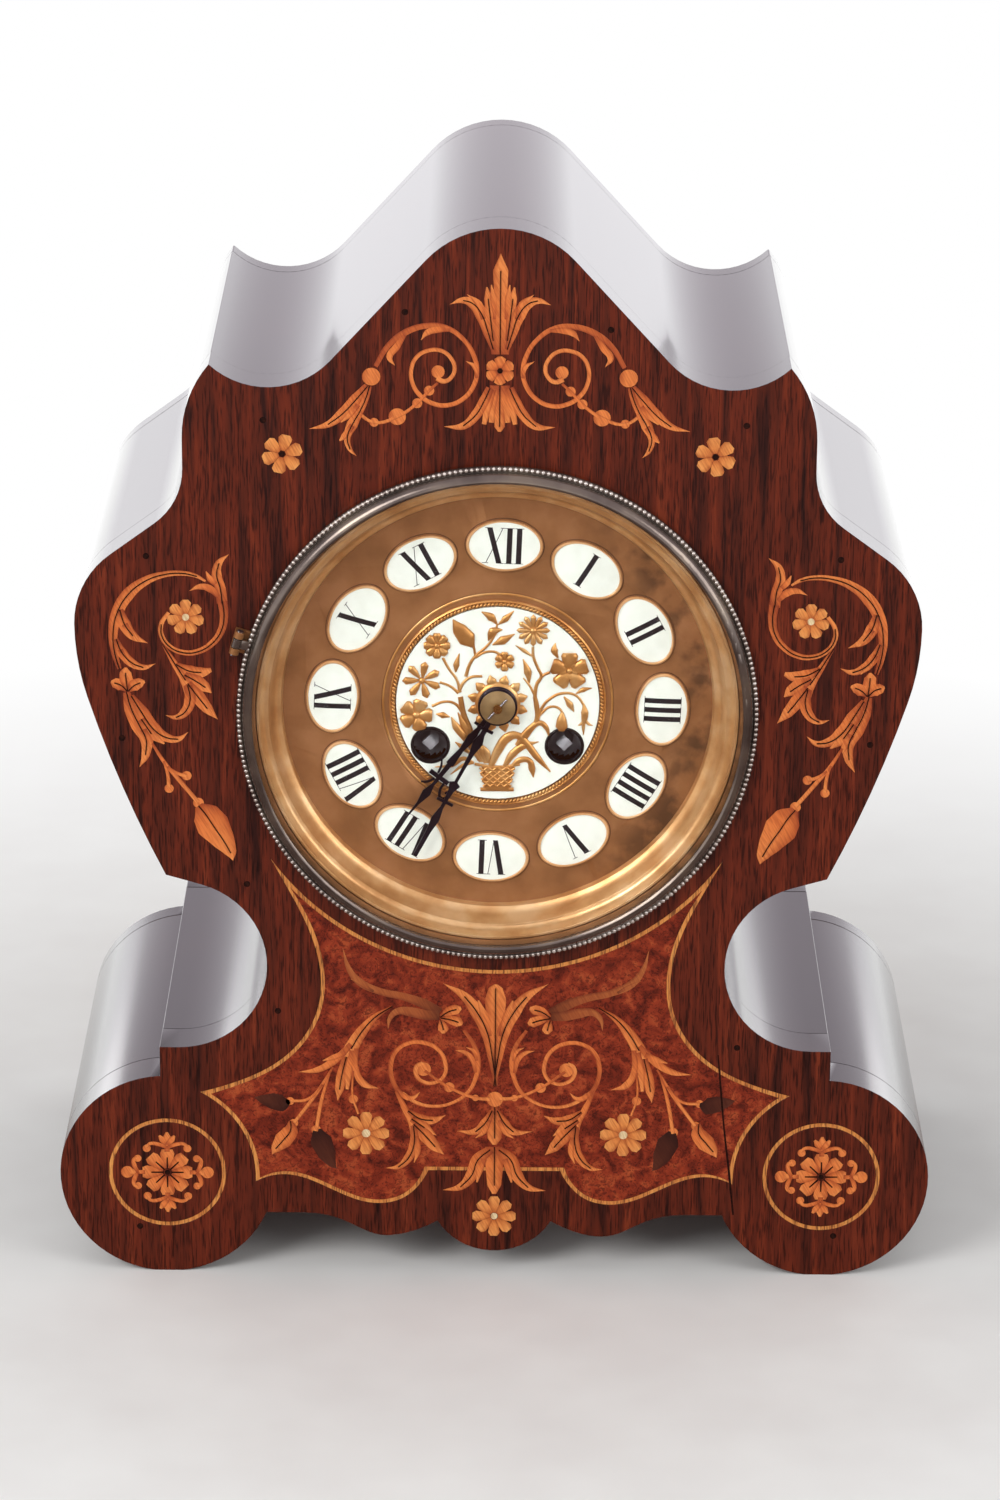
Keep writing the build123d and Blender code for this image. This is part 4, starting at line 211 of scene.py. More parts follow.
POSY = [
    [(-6, -20.2, 0.79), (-8.7, -10.4, 0.88), (-11.4, -3.8, 0.98), (-12.5, 2.3, 0.88)],
    [(-12.6, 3.9, 0.59), (-13.8, 8.4, 0.44), (-16.3, 12, 0.44), (-18.4, 16, 0.49)],
    [(-14.1, 11, 0.29), (-13.9, 13.5, 1.08), (-12.9, 17.6, 0.15)],
    [(-13.1, 3.6, 0.59), (-15.8, 5.9, 0.44), (-19.4, 7.4, 0.44)],
    [(-11.6, -3.3, 0.69), (-14.3, -0.2, 0.49), (-17.7, 0.5, 0.44), (-22, -1.1, 0.49)],
    [(-16, -4.9, 0.2), (-18.4, -4.3, 1.18), (-20.7, -3.9, 0.15)],
    [(-12.9, 4.4, 0.59), (-11.4, 7.4, 0.54), (-9, 9.2, 0.49), (-5.2, 9.6, 0.44)],
    [(-10.7, 9.5, 0.59), (-9.5, 13.6, 0.54), (-7.6, 16.6, 0.49), (-3.3, 20.7, 0.44), (-1, 24.8, 0.39),
     (-0.3, 28.1, 0.34)],
    [(-0.3, 27.8, 0.2), (-2.4, 30.4, 1.47), (-5.6, 32.3, 0.2)],
    [(0, 27.8, 0.2), (2.4, 29.9, 1.18), (5.2, 32.7, 0.15)],
    [(-3.3, 22.2, 0.2), (-1.7, 25.3, 1.67), (1.4, 26.1, 0.2)],
    [(-1.9, 20.7, 0.2), (1.5, 22.3, 1.57), (5.5, 24.6, 0.2)],
    [(-7.5, 16.6, 0.39), (-8.1, 19.7, 0.44), (-8.6, 21.2, 0.59)],
    [(-8.4, 20.2, 0.79), (-10.3, 22.7, 3.04), (-13, 26.2, 2.45), (-15.1, 29.5, 0.2)],
    [(-7.5, 16.1, 0.39), (-4.8, 17.9, 0.44), (-1.4, 18.3, 0.44), (1, 17.2, 0.49)],
    [(5.6, -17.5, 0.79), (10.9, -9.8, 0.79), (13.2, -5.7, 0.88), (13, -0.5, 0.88), (12.4, 2.5, 0.69)],
    [(12.4, 2.5, 0.59), (13.1, 7.1, 0.59), (14.5, 9.7, 0.54), (13.3, 12.7, 0.49), (11.8, 16.8, 0.49),
     (11.6, 20.1, 0.44)],
    [(13.6, 7.6, 0.49), (15, 9.9, 0.49), (17.4, 11.2, 0.49)],
    [(20, 16.3, 0.29), (18.8, 18.9, 1.28), (19.1, 21.5, 0.15)],
    [(11.6, 16.7, 0.29), (8.7, 18.7, 0.69), (5.8, 20.6, 0.15)],
    [(10.5, 7.4, 0.29), (10, 11.2, 1.37), (8.4, 15.8, 0.15)],
    [(12.3, 3, 0.39), (10.5, 6.6, 0.39), (8.5, 9.1, 0.25)],
    [(13.5, -5.1, 0.59), (14.9, -1.3, 0.49), (17.5, 1.8, 0.49), (21.8, 3.8, 0.49), (26.2, 3, 0.44),
     (28.9, -0.4, 0.44)],
    [(26.2, 3.7, 0.25), (28.6, 5.1, 0.88), (31.5, 5.7, 0.15)],
    [(22.2, 2.6, 0.25), (24.2, -0.2, 1.18), (25.6, -2.8, 0.15)],
    [(14, -4.1, 0.49), (17.5, -1.1, 0.44), (20.4, -1.5, 0.44), (21.7, -3, 0.39)],
    [(21.7, -3, 0.49), (21.5, -5.6, 1.67), (21.5, -8.2, 2.06), (21.4, -9.6, 0.98)],
    [(28.9, -0.4, 0.44), (29.2, -3, 1.28), (29.1, -6, 0.98)],
    [(29.1, -5.5, 0.59), (30.6, -7.1, 0.49), (31.9, -7.6, 0.15)],
    [(29.1, -5.5, 0.59), (28.8, -8.1, 0.59), (28.9, -10.9, 0.15)],
    [(29.1, -5.5, 0.49), (28, -7.1, 0.49), (27, -7.6, 0.15)],
    [(6.6, -14.9, 0.79), (8.5, -11.8, 1.18), (11.3, -8.5, 1.08), (14.2, -6.8, 0.98), (16.2, -8.2, 0.88),
     (17.4, -11.8, 0.2)],
    [(-2.1, -22.2, 0.98), (0.3, -16.5, 1.57), (3.6, -11.9, 1.67), (6.5, -11.3, 1.28), (9.5, -13.9, 1.28),
     (13.4, -19, 1.18), (17.9, -24.2, 0.25)],
    [(2.3, -22.7, 0.69), (5.1, -18, 1.37), (9, -14.9, 1.18), (13.9, -13.5, 0.15)],
    [(4.7, -22.7, 0.59), (7.6, -20.1, 1.08), (10.7, -20.3, 0.98), (11.7, -23.2, 1.18), (12.2, -26.2, 0.2)],
    [(-5.5, -20.7, 0.69), (-9.9, -13.5, 1.28), (-13.8, -8.4, 1.37), (-15.5, -4.9, 0.2)],
    [(-4.8, -20.7, 0.69), (-8, -14, 1.08), (-11.4, -7.4, 1.18), (-13.3, -3.3, 0.2)],
    [(-4, -21.2, 0.59), (-5.5, -16.6, 1.18), (-7, -11.5, 0.15)],
    [(-3.1, -21.2, 0.59), (-3.6, -17.6, 1.28), (-6, -14, 0.15)],
    [(-7.9, -21.2, 0.39), (-11.3, -19.7, 0.79), (-15.2, -22.1, 0.79), (-21, -22.8, 0.15)],
    [(-7.9, -21.2, 0.39), (-10.8, -21.8, 0.69), (-15.7, -25.4, 0.15)],
    [(-7.9, -18.7, 0.39), (-11.8, -15.6, 0.98), (-14.2, -13.8, 0.15)],
]


def linear(code):
    """An sRGB hex colour as the linear colour a socket takes."""
    parts = [int(code[i:i + 2], 16) / 255 for i in (1, 3, 5)]
    return tuple(c / 12.92 if c <= 0.04045 else ((c + 0.055) / 1.055) ** 2.4 for c in parts) + (1.0,)


def node(tree, kind, inputs=None, stops=None, **settings):
    """Adds one shader node, with its settings, its values or links, and a colour ramp's stops."""
    made = tree.nodes.new("ShaderNode" + kind)
    for key, value in settings.items():
        setattr(made, key, value)
    for key, value in (inputs or {}).items():
        if isinstance(value, bpy.types.NodeSocket):
            tree.links.new(value, made.inputs[key])
        else:
            made.inputs[key].default_value = value
    if stops:
        ramp = made.color_ramp
        ramp.elements.remove(ramp.elements[1])
        ramp.elements[0].position = stops[0][0]
        for place, code in stops[1:]:
            ramp.elements.new(place)
        for element, (place, code) in zip(ramp.elements, stops):
            element.color = linear(code)
    return made


def finish(name, colour, **sockets):
    """A material with a Principled shader; gives it, its node tree, its shader and its coordinates."""
    made = bpy.data.materials.new(name)
    made.use_nodes = True
    tree = made.node_tree
    shader = tree.nodes["Principled BSDF"]
    shader.inputs["Base Color"].default_value = linear(colour)
    for key, value in sockets.items():
        shader.inputs[key.replace("_", " ")].default_value = value
    made.diffuse_color = linear(colour)
    return made, tree, shader, node(tree, "TexCoord")


def stretched(tree, place, sizes, turn=(0.0, 0.0, 0.0), **settings):
    """Noise whose grain has these sizes in millimetres along the three axes."""
    turned_to = node(tree, "Mapping", {"Vector": place.outputs["Object"], "Rotation": turn})
    scaled = node(
        tree, "Mapping", {"Vector": turned_to.outputs[0], "Scale": tuple(1 / (s * MM) for s in sizes)}
    )
    return node(tree, "TexNoise", {"Vector": scaled.outputs[0], "Scale": 1.0, **settings}).outputs["Fac"]


def bumped(tree, shader, height, strength, distance):
    """Relief for the shader from a height, with its depth in millimetres."""
    made = node(tree, "Bump", {"Height": height, "Strength": strength, "Distance": distance * MM})
    tree.links.new(made.outputs[0], shader.inputs["Normal"])


def ranged(tree, value, low, high, first=0.0, last=1.0):
    """A value between low and high, brought to between first and last."""
    limits = {"Value": value, "From Min": low, "From Max": high, "To Min": first, "To Max": last}
    return node(tree, "MapRange", limits).outputs[0]


def maths(tree, operation, first, second):
    """Two values worked into one."""
    return node(tree, "Math", {0: first, 1: second}, operation=operation).outputs[0]


def multiplied(tree, share, first, second):
    """One colour darkened by a share of another."""
    both = {"Fac": share, "Color1": first.outputs[0], "Color2": second.outputs[0]}
    return node(tree, "MixRGB", both, blend_type="MULTIPLY")


def mottled(name, colour, size, detail, stops, **sockets):
    """A material whose colour wanders over stops in clouds of one size; gives what finish gives."""
    made, tree, shader, place = finish(name, colour, **sockets)
    cloud = stretched(tree, place, (size, size, size), Detail=detail)
    tone = node(tree, "ValToRGB", {"Fac": cloud}, stops)
    tree.links.new(tone.outputs[0], shader.inputs["Base Color"])
    return made, tree, shader, place


def veneer(name, colours, grain, pores, turn=(0.0, 0.0, 0.0), **sockets):
    """Polished wood: long streaks of colour, short dark pores and a glossy coat over them."""
    made, tree, shader, place = finish(name, colours[1], **sockets)
    streak = stretched(tree, place, grain, turn, Detail=6.0, Distortion=0.7)
    pore = stretched(tree, place, pores, turn, Detail=2.0)
    last = len(colours) - 1
    tone = node(
        tree, "ValToRGB", {"Fac": streak}, [(0.3 + 0.42 * i / last, c) for i, c in enumerate(colours)]
    )
    pit = node(tree, "ValToRGB", {"Fac": pore}, [(0.36, "#6a5a55"), (0.5, "#ffffff")])
    both = multiplied(tree, 0.8, tone, pit)
    tree.links.new(both.outputs[0], shader.inputs["Base Color"])
    bumped(tree, shader, pore, 0.12, 0.05)
    return made


def metal(name, colours, grain, depth, **sockets):
    """Metal whose colour and shine wander between tarnished and rubbed places."""
    last = len(colours) - 1
    stops = [(0.35 + 0.3 * i / last, c) for i, c in enumerate(colours)]
    made, tree, shader, place = mottled(name, colours[0], 14.0, 5.0, stops, **sockets)
    bumped(tree, shader, stretched(tree, place, grain, Detail=3.0), 0.25, depth)
    return made


def inlay_wood(name, dark, plain, light):
    """Marquetry cut from pale wood, scorched in hot sand at its root and along one edge."""
    made, tree, shader, place = finish(name, plain, Roughness=0.38, Coat_Weight=0.3, Coat_Roughness=0.1)
    parts = node(tree, "SeparateXYZ", {"Vector": place.outputs["UV"]})
    root = node(tree, "ValToRGB", {"Fac": parts.outputs[0]}, [(0.0, dark), (0.3, plain), (1.0, light)])
    edge = node(tree, "ValToRGB", {"Fac": parts.outputs[1]}, [(0.0, "#c8a488"), (0.35, "#ffffff")])
    shaded = multiplied(tree, 0.85, root, edge)
    streak = stretched(tree, place, (0.5, 0.5, 5.0), (0.0, 0.5, 0.0), Detail=3.0)
    grain = node(tree, "ValToRGB", {"Fac": streak}, [(0.35, "#c9a58c"), (0.6, "#ffffff")])
    both = multiplied(tree, 0.6, shaded, grain)
    tree.links.new(both.outputs[0], shader.inputs["Base Color"])
    return made


def keep(bm, name, body, material, stands_for=(), sharp=SHARP):
    """Puts a finished mesh into the clock as a piece that moves with a body."""
    mesh = bpy.data.meshes.new(name)
    bm.to_mesh(mesh)
    bm.free()
    mesh.materials.clear()
    mesh.materials.append(material)
    mesh.shade_smooth()
    mesh.set_sharp_from_angle(angle=radians(sharp))
    piece = bpy.data.objects.new(name, mesh)
    scene.collection.objects.link(piece)
    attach(piece, body)
    if stands_for:
        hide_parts(*stands_for)
    return piece


def drawn(strokes, rods=False, corners=False, steps=5):
    """Strokes of (across, up, half width) as flat ribbons, or as round rods, lying on the XY plane."""
    curve = bpy.data.curves.new("strokes", "CURVE")
    curve.dimensions = "3D"
    curve.twist_mode = "Z_UP"
    curve.resolution_u = steps
    if rods:
        curve.bevel_depth = 1.0
        curve.bevel_resolution = 3
        curve.use_fill_caps = True
    else:
        curve.extrude = 1.0
    for layer, stroke in enumerate(strokes):
        spline = curve.splines.new("BEZIER")
        spline.bezier_points.add(len(stroke) - 1)
        for point, (x, y, half) in zip(spline.bezier_points, stroke):
            point.co = (x * MM, y * MM, layer * 0.003 * MM)
            point.radius = max(half, 0.03) * MM
            point.tilt = 0.0 if rods else pi / 2
            point.handle_left_type = point.handle_right_type = "VECTOR" if corners else "AUTO"
    holder = bpy.data.objects.new("strokes", curve)
    scene.collection.objects.link(holder)
    mesh = bpy.data.meshes.new_from_object(holder.evaluated_get(bpy.context.evaluated_depsgraph_get()))
    bpy.data.objects.remove(holder)
    bm = bmesh.new()
    bm.from_mesh(mesh)
    return bm


def thickened(bm, thick):
    """Gives flat ribbons a body in front of them, so that they are closed slips."""
    grown = bmesh.ops.extrude_face_region(bm, geom=bm.faces[:])
    corners = [item for item in grown["geom"] if isinstance(item, bmesh.types.BMVert)]
    bmesh.ops.translate(bm, verts=corners, vec=(0.0, 0.0, thick * MM))
    bmesh.ops.recalc_face_normals(bm, faces=bm.faces)


def joined(whole, part):
    """Adds a part to the mesh that it belongs to."""
    lump = bpy.data.meshes.new("part")
    part.to_mesh(lump)
    part.free()
    whole.from_mesh(lump)
    bpy.data.meshes.remove(lump)


def moved(bm, matrix):
    """Carries a whole mesh to its place."""
    bmesh.ops.transform(bm, matrix=matrix, verts=bm.verts)


def spun(profile, segments, matrix):
    """Turns a profile of (radius, height) round the local Z axis."""
    bm = bmesh.new()
    corners = [bm.verts.new((r * MM, 0.0, h * MM)) for r, h in profile]
    edges = [bm.edges.new(pair) for pair in zip(corners, corners[1:])]
    if profile[0] == profile[-1]:
        bmesh.ops.remove_doubles(bm, verts=corners, dist=1e-7)
        edges = [e for e in edges if e.is_valid]
        corners = [c for c in corners if c.is_valid]
    bmesh.ops.spin(
        bm, geom=corners + edges, cent=(0, 0, 0), axis=(0, 0, 1), angle=2 * pi, steps=segments,
        use_merge=True, use_normal_flip=False,
    )
    bmesh.ops.remove_doubles(bm, verts=bm.verts, dist=1e-7)
    moved(bm, matrix)
    bmesh.ops.recalc_face_normals(bm, faces=bm.faces)
    return bm


def mirrored(strokes):
    """The strokes of the left half and the same ones on the right."""
    return [s for stroke in strokes for s in (stroke, [(-x, z, w) for x, z, w in stroke])]


def both_sides(spots):
    """Round spots of the left half, and the same on the right."""
    return [s for x, z, r in spots for s in (((x, z, r), (-x, z, r)) if abs(x) > 1 else ((0.0, z, r),))]


def petals(x, z, reach, half, count, turn=0.0, tip=0.35, root=0.18):
    """The petals of a flower as strokes that start near its middle and swell outwards."""
    steps = ((root, 0.3), (0.5, 0.8), (0.82, 1.0), (1.0, tip))
    ways = [radians(turn + 360.0 * i / count) for i in range(count)]
    return [[(x + r * reach * sin(a), z + r * reach * cos(a), w * half) for r, w in steps] for a in ways]


def veins(strokes, least):
    """Fine engraved lines along the middle of the broader leaves."""
    broad = [s for s in strokes if max(w for x, z, w in s) > least]
    return [[(x, z, 0.16) for x, z, w in stroke[:-1]] for stroke in broad]


ON_BOARD = Matrix.Translation((0.0, FRONT * MM, 0.0)) @ Matrix.Rotation(pi / 2, 4, "X")
ON_DIAL = Matrix.Translation((0.0, FRONT * MM, DIAL_HEIGHT * MM)) @ Matrix.Rotation(pi / 2, 4, "X")


def laid_in(name, strokes, spots, wood, lift=0.05):
    """Slips of wood let into the front board, their faces a little proud as old inlay stands."""
    bm = drawn(strokes) if strokes else bmesh.new()
    along = bm.loops.layers.uv.verify()
    for x, z, radius in spots:
        ring = bmesh.ops.create_circle(
            bm, cap_ends=True, segments=20, radius=radius * MM, matrix=Matrix.Translation((x * MM, z * MM, 0))
        )
        for face in ring["verts"][0].link_faces:
            for corner in face.loops:
                corner[along].uv = (0.6, 0.5 + 0.5 * (corner.vert.co.x / MM - x) / radius)
    thickened(bm, INLAY_THICK)
    bmesh.ops.translate(bm, verts=bm.verts, vec=(0.0, 0.0, (lift - INLAY_THICK) * MM))
    moved(bm, ON_BOARD)
    return keep(bm, name, "case", wood)


def eased(name, width, material=None, rim=None):
    """A merged, smoothly shaded copy of a CAD piece with its sharp edges eased, which stands for it.
    A board may have its edges finished as another material."""
    source = frame["nodes"][name]
    slot = source.data.materials[0].name.split(".")[0]
    bm = bmesh.new()
    bm.from_mesh(source.data)
    bmesh.ops.remove_doubles(bm, verts=bm.verts, dist=WELD * MM)
    bmesh.ops.dissolve_limit(bm, angle_limit=radians(FLAT), verts=bm.verts, edges=bm.edges)
    piece = keep(bm, name + "_finished", source["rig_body"], material or FINISHES[slot], (name,))
    if rim:
        piece.data.materials.append(rim)
        for face in piece.data.polygons:
            face.material_index = int(abs(face.normal.y) < 0.7)
    if width:
        edge = piece.modifiers.new("eased edges", "BEVEL")
        edge.width = width * MM
        edge.segments = 2
        edge.limit_method = "ANGLE"
        edge.angle_limit = radians(BEVELLED)
        edge.harden_normals = True


# Polish of the veneers: a thin clear coat with little mirror of its own
FRENCH_POLISH = {"Roughness": 0.4, "Specular_IOR_Level": 0.25, "Coat_Weight": 0.2, "Coat_Roughness": 0.08}

# Grain of the metals in millimetres: sandy from casting or matting, smooth from polishing, drawn by a file
SANDY = (0.4, 0.4, 0.4)
SMOOTH = (0.5, 0.5, 0.5)
DRAWN = (0.3, 2.0, 0.3)

# Rosewood veneer under french polish: dark red brown, near black streaks standing upright, deep gloss
rosewood = veneer(
    "rosewood_veneer_french_polished", ["#30100a", "#521c0c", "#63210d", "#782e14"],
    (3.4, 3.4, 60.0), (0.5, 0.5, 7.0), **FRENCH_POLISH,
)

# Amboyna burr: warm red brown clouds with small dark eyes, polished like the rosewood
burr, tree, shader, place = finish("amboyna_burr_french_polished", "#8f3519", **FRENCH_POLISH)
cloud = stretched(tree, place, (7.0, 7.0, 7.0), Detail=5.0, Distortion=1.2)
curl = stretched(tree, place, (1.6, 1.6, 1.6), Detail=4.0, Distortion=2.0)
tone = node(
    tree, "ValToRGB", {"Fac": cloud},
    [(0.3, "#571808"), (0.43, "#76240e"), (0.55, "#903216"), (0.72, "#ad4e26")],
)
fleck = node(tree, "ValToRGB", {"Fac": curl}, [(0.36, "#7a5a50"), (0.52, "#ffffff")])
figure = multiplied(tree, 0.75, tone, fleck)
tree.links.new(figure.outputs[0], shader.inputs["Base Color"])

# Ebonised pear under black polish: almost no colour of its own, it mirrors the studio at a low angle
ebonised, tree, shader, place = mottled(
    "ebonised_wood_black_polished", "#120a09", 30.0, 4.0,
    [(0.35, "#0b0606"), (0.6, "#170c0a"), (0.75, "#241311")],
    Roughness=0.2, IOR=1.55, Coat_Weight=0.6, Coat_Roughness=0.12,
)
ripple = stretched(tree, place, (6.0, 60.0, 6.0), Detail=2.0)
bumped(tree, shader, ripple, 0.05, 0.2)

# Boxwood stringing: even pale orange brown lines with little grain
boxwood = veneer(
    "boxwood_stringing_polished", ["#b8682c", "#d2843c", "#de964a"], (1.5, 1.5, 20.0), (0.4, 0.4, 5.0),
    Roughness=0.38, Coat_Weight=0.5, Coat_Roughness=0.1,
)

# Stained pine carcase: plain brown, open grained and dull, as the back of a case is left
carcase = veneer(
    "pine_carcase_stained", ["#3a2014", "#54301d", "#684026"], (3.0, 3.0, 80.0), (0.5, 0.5, 9.0),
    Roughness=0.62, Coat_Weight=0.05, Coat_Roughness=0.4,
)

# Polished brass of the bezel, gone dark and greyish with age
bezel_brass = metal(
    "bezel_brass_aged_polish", ["#5d534d", "#70655d", "#827669"], SMOOTH, 0.004,
    Metallic=0.7, Roughness=0.2,
)

# Gilt reflector inside the bezel: smoother and yellower than the dial, so its steps shine
reflector_gilding = metal(
    "reflector_brass_gilt", ["#bd8a54", "#d2a36c", "#e2bc8a"], SMOOTH, 0.004,
    Metallic=0.6, Roughness=0.32,
)

# Dull turned brass of the washer under the hand pin
washer_brass = metal(
    "washer_brass_dull", ["#7d6440", "#957a50", "#a98d62"], SMOOTH, 0.004, Metallic=0.4, Roughness=0.34,
)

# Silvered beads: small bright balls that catch the light
beading = metal(
    "bead_brass_silvered", ["#c4bab0", "#d6cdc4", "#e2dcd4"], SANDY, 0.005,
    Metallic=0.6, Roughness=0.2,
)

# Matt copper gilding of the dial: grained like fine sand, brownish where it has worn
gilding = metal(
    "dial_brass_matt_gilt", ["#93653b", "#a27044", "#ae7b4f"], SANDY, 0.004,
    Metallic=0.6, Roughness=0.48,
)
# Brown tarnish has crept in from the dial's edge on the right, in clouds some 9 mm wide; it grows from
# none to full between these distances from the dial's middle, outward and to the right
OUTWARD_FROM, OUTWARD_TO = 56.0, 68.0
RIGHT_FROM, RIGHT_TO = 22.0, 52.0
tree = gilding.node_tree
shader = tree.nodes["Principled BSDF"]
place = node(tree, "TexCoord")
middle = node(
    tree, "VectorMath", {0: place.outputs["Object"], 1: (0.0, 0.0, DIAL_HEIGHT * MM)}, operation="SUBTRACT"
)
flat = node(tree, "VectorMath", {0: middle.outputs[0], 1: (1.0, 0.0, 1.0)}, operation="MULTIPLY")
outward = node(tree, "VectorMath", {0: flat.outputs[0]}, operation="LENGTH")
near_edge = ranged(tree, outward.outputs["Value"], OUTWARD_FROM * MM, OUTWARD_TO * MM)
sideways = node(tree, "SeparateXYZ", {"Vector": middle.outputs[0]})
at_right = ranged(tree, sideways.outputs[0], RIGHT_FROM * MM, RIGHT_TO * MM)
cloud = stretched(tree, place, (9.0, 9.0, 9.0), Detail=6.0)
patch = ranged(tree, cloud, 0.44, 0.62, 0.0, 0.75)
amount = maths(tree, "MULTIPLY", maths(tree, "MULTIPLY", near_edge, at_right), patch)
gilt_tone = shader.inputs["Base Color"].links[0].from_socket
stained = node(tree, "MixRGB", {"Fac": amount, "Color1": gilt_tone, "Color2": linear("#4a331f")})
tree.links.new(stained.outputs[0], shader.inputs["Base Color"])

# Rubbed gilding of the pressed rims round the plaques, paler than the dial, the paleness partly a painted
# highlight; and a thin dark ring just outside them on the dial, painted shade of the crease at the rims' foot
# with some dirt in it
rim_gilding_rubbed_and_highlit = metal(
    "plaque_rim_gilt_rubbed_painted_highlight", ["#cd9760", "#dfae78", "#ecc594"], SANDY, 0.004, Metallic=0.4, Roughness=0.4,
)
rim_shade_and_grime = metal(
    "dial_brass_dirt_and_painted_shade", ["#4c301c", "#5c3c24", "#6d4c30"], SANDY, 0.004, Metallic=0.3, Roughness=0.6,
)

# Brighter gilding of the cast flowers, rubbed in places
posy_gilding = metal(
    "cast_brass_gilt", ["#bb8144", "#d29a57", "#e4b87a"], (0.6, 0.6, 0.6), 0.02, Metallic=0.7, Roughness=0.34,
)

# Fired enamel: cream white, glassy, very slightly uneven
enamel = mottled(
    "enamel_cream_fired", "#ebf1e6", 5.0, 3.0, [(0.3, "#e4ebdf"), (0.55, "#eaf1e6"), (0.8, "#ecf3e9")],
    Roughness=0.16, Coat_Weight=0.4, Coat_Roughness=0.04,
)[0]

# Black enamel paint of the numerals, a little worn so that specks of white show
numeral_black = mottled(
    "enamel_black_painted", "#131519", 0.7, 4.0, [(0.0, "#101216"), (0.66, "#1b1d22"), (0.74, "#6b6c6a")],
    Roughness=0.3,
)[0]

# Blackened brass, blued steel and the bright metals of the movement
black_metal = metal("brass_blackened", ["#0e0e10", "#17171a"], SANDY, 0.01, Metallic=0.4, Roughness=0.35)
blued = metal("steel_blued", ["#14141f", "#1d1d2c", "#26242f"], SANDY, 0.01, Metallic=0.8, Roughness=0.34)
brass = metal(
    "brass_lacquered", ["#bb9350", "#bf9753", "#c49c58"], DRAWN, 0.01, Metallic=1.0, Roughness=0.26
)
steel = metal(
    "steel_polished", ["#8d9094", "#a3a6aa", "#b4b6b9"], DRAWN, 0.008, Metallic=1.0, Roughness=0.22
)
spring = metal("spring_steel_blue_grey", ["#3b414b", "#4d545e"], DRAWN, 0.008, Metallic=1.0, Roughness=0.3)
bell_metal = metal(
    "bell_bronze_turned", ["#a58450", "#b8975f", "#c4a670"], (0.3, 0.3, 0.3), 0.01,
    Metallic=1.0, Roughness=0.24,
)

# Filed steel of the winding squares, greyer and duller than the polished arbors
filed_steel = metal(
    "steel_filed_grey", ["#8b8b8e", "#9c9c9f", "#a9a9ab"], (0.3, 0.3, 2.0), 0.01, Metallic=0.6, Roughness=0.5,
)

# Clear crown glass: shows the dial through a faint reflection and lets the lamps light what is behind it
glass, tree, shader, place = finish(
    "glass_clear_bevelled", "#ffffff", Roughness=0.0, IOR=1.45, Transmission_Weight=1.0
)
ray = node(tree, "LightPath")
clear = node(tree, "BsdfTransparent", {"Color": (0.97, 0.98, 0.98, 1.0)})
mixed = node(tree, "MixShader", {0: ray.outputs["Is Shadow Ray"], 1: shader.outputs[0], 2: clear.outputs[0]})
tree.links.new(mixed.outputs[0], tree.nodes["Material Output"].inputs["Surface"])

# Marquetry woods, and the dark filler that is rubbed into engraved lines
satinwood = inlay_wood("satinwood_sand_shaded", "#ad4c1b", "#dd7532", "#e78a43")
goldwood = inlay_wood("boxwood_sand_shaded", "#c06427", "#df8840", "#e89c52")
brownwood = inlay_wood("walnut_sand_shaded", "#6a2f11", "#a04f20", "#b8672f")
darkwood = inlay_wood("stained_wood_inlay", "#2c1007", "#451a0b", "#5c2813")
holly = inlay_wood("holly_plain", "#dcc08c", "#e6cf9f", "#ecd9b0")
filler = mottled(
    "engraving_filler_dark", "#2a1109", 1.0, 3.0, [(0.35, "#150704"), (0.65, "#2e1209")],
    Roughness=0.6, Specular_IOR_Level=0.1,
)[0]

FINISHES = {
    "rosewood": rosewood, "burr_amboyna": burr, "boxwood": boxwood, "ebonised_wood": ebonised,
    "secondary_wood": carcase, "polished_bezel_brass": bezel_brass, "gilt_brass": gilding,
    "white_enamel": enamel, "black_metal": black_metal, "bezel_glass": glass, "blued_steel": blued,
    "polished_brass": brass, "polished_steel": steel, "spring_steel": spring, "bell_metal": bell_metal,
}

# Case, bezel and movement: CAD pieces with eased edges, whose widths are in millimetres, and their finishes
EDGES = {
    "front_board": 0.5, "crest_shell": 0.5, "shoulder_left": 0.5, "shoulder_right": 0.5, "waist_left": 0.4,
    "waist_right": 0.4, "foot_left": 0.5, "foot_right": 0.5, "base_board": 0.5, "back_board": 0.5,
    "front_ring": 0.2, "bezel_ring": 0.2, "reflector_ring": 0.15, "dial_plate": 0.1, "back_ring": 0.3,
    "back_door": 0.2, "bell": 0.2, "hand_washer": 0.1, "pendulum_bob": 0.2, "winding_grommets": 0.12,
}
OWN_FINISH = {
    "reflector_ring": reflector_gilding, "hand_washer": washer_brass,
    "going_winding_arbor": filed_steel, "strike_winding_arbor": filed_steel,
}
OWN_RIM = {"front_board": ebonised, "back_board": ebonised}
MADE_ANEW = ("hour_plaques", "centre_relief", "hour_hand", "minute_hand")
for name in frame["nodes"]:
    if name not in MADE_ANEW:
        eased(name, EDGES.get(name, 0.0), OWN_FINISH.get(name), OWN_RIM.get(name))

# Marquetry of the crest, with a rosette in its middle and a flower to each side (across, up, turn)
ROSETTE_HEIGHT = 325.2
CREST_FLOWERS = [(-71.3, 296.4, 12), (70.9, 296.4, -8)]
crest = CREST_MIDDLE + mirrored(CREST_SIDE)
rosette = petals(0.0, ROSETTE_HEIGHT, 4.8, 1.9, 6)
laid_in("crest_marquetry", crest + rosette, both_sides(CREST_BEADS), satinwood)
laid_in("crest_engraving", veins(crest, 1.4), [(0, ROSETTE_HEIGHT, 0.9)], filler, 0.3)
flowers = [petal for x, z, turn in CREST_FLOWERS for petal in petals(x, z, 6.6, 2.3, 6, turn, 0.6)]
laid_in("crest_flowers", flowers, [], goldwood)
laid_in("crest_flower_eyes", [], [(x, z, 1.0) for x, z, turn in CREST_FLOWERS], filler, 0.12)

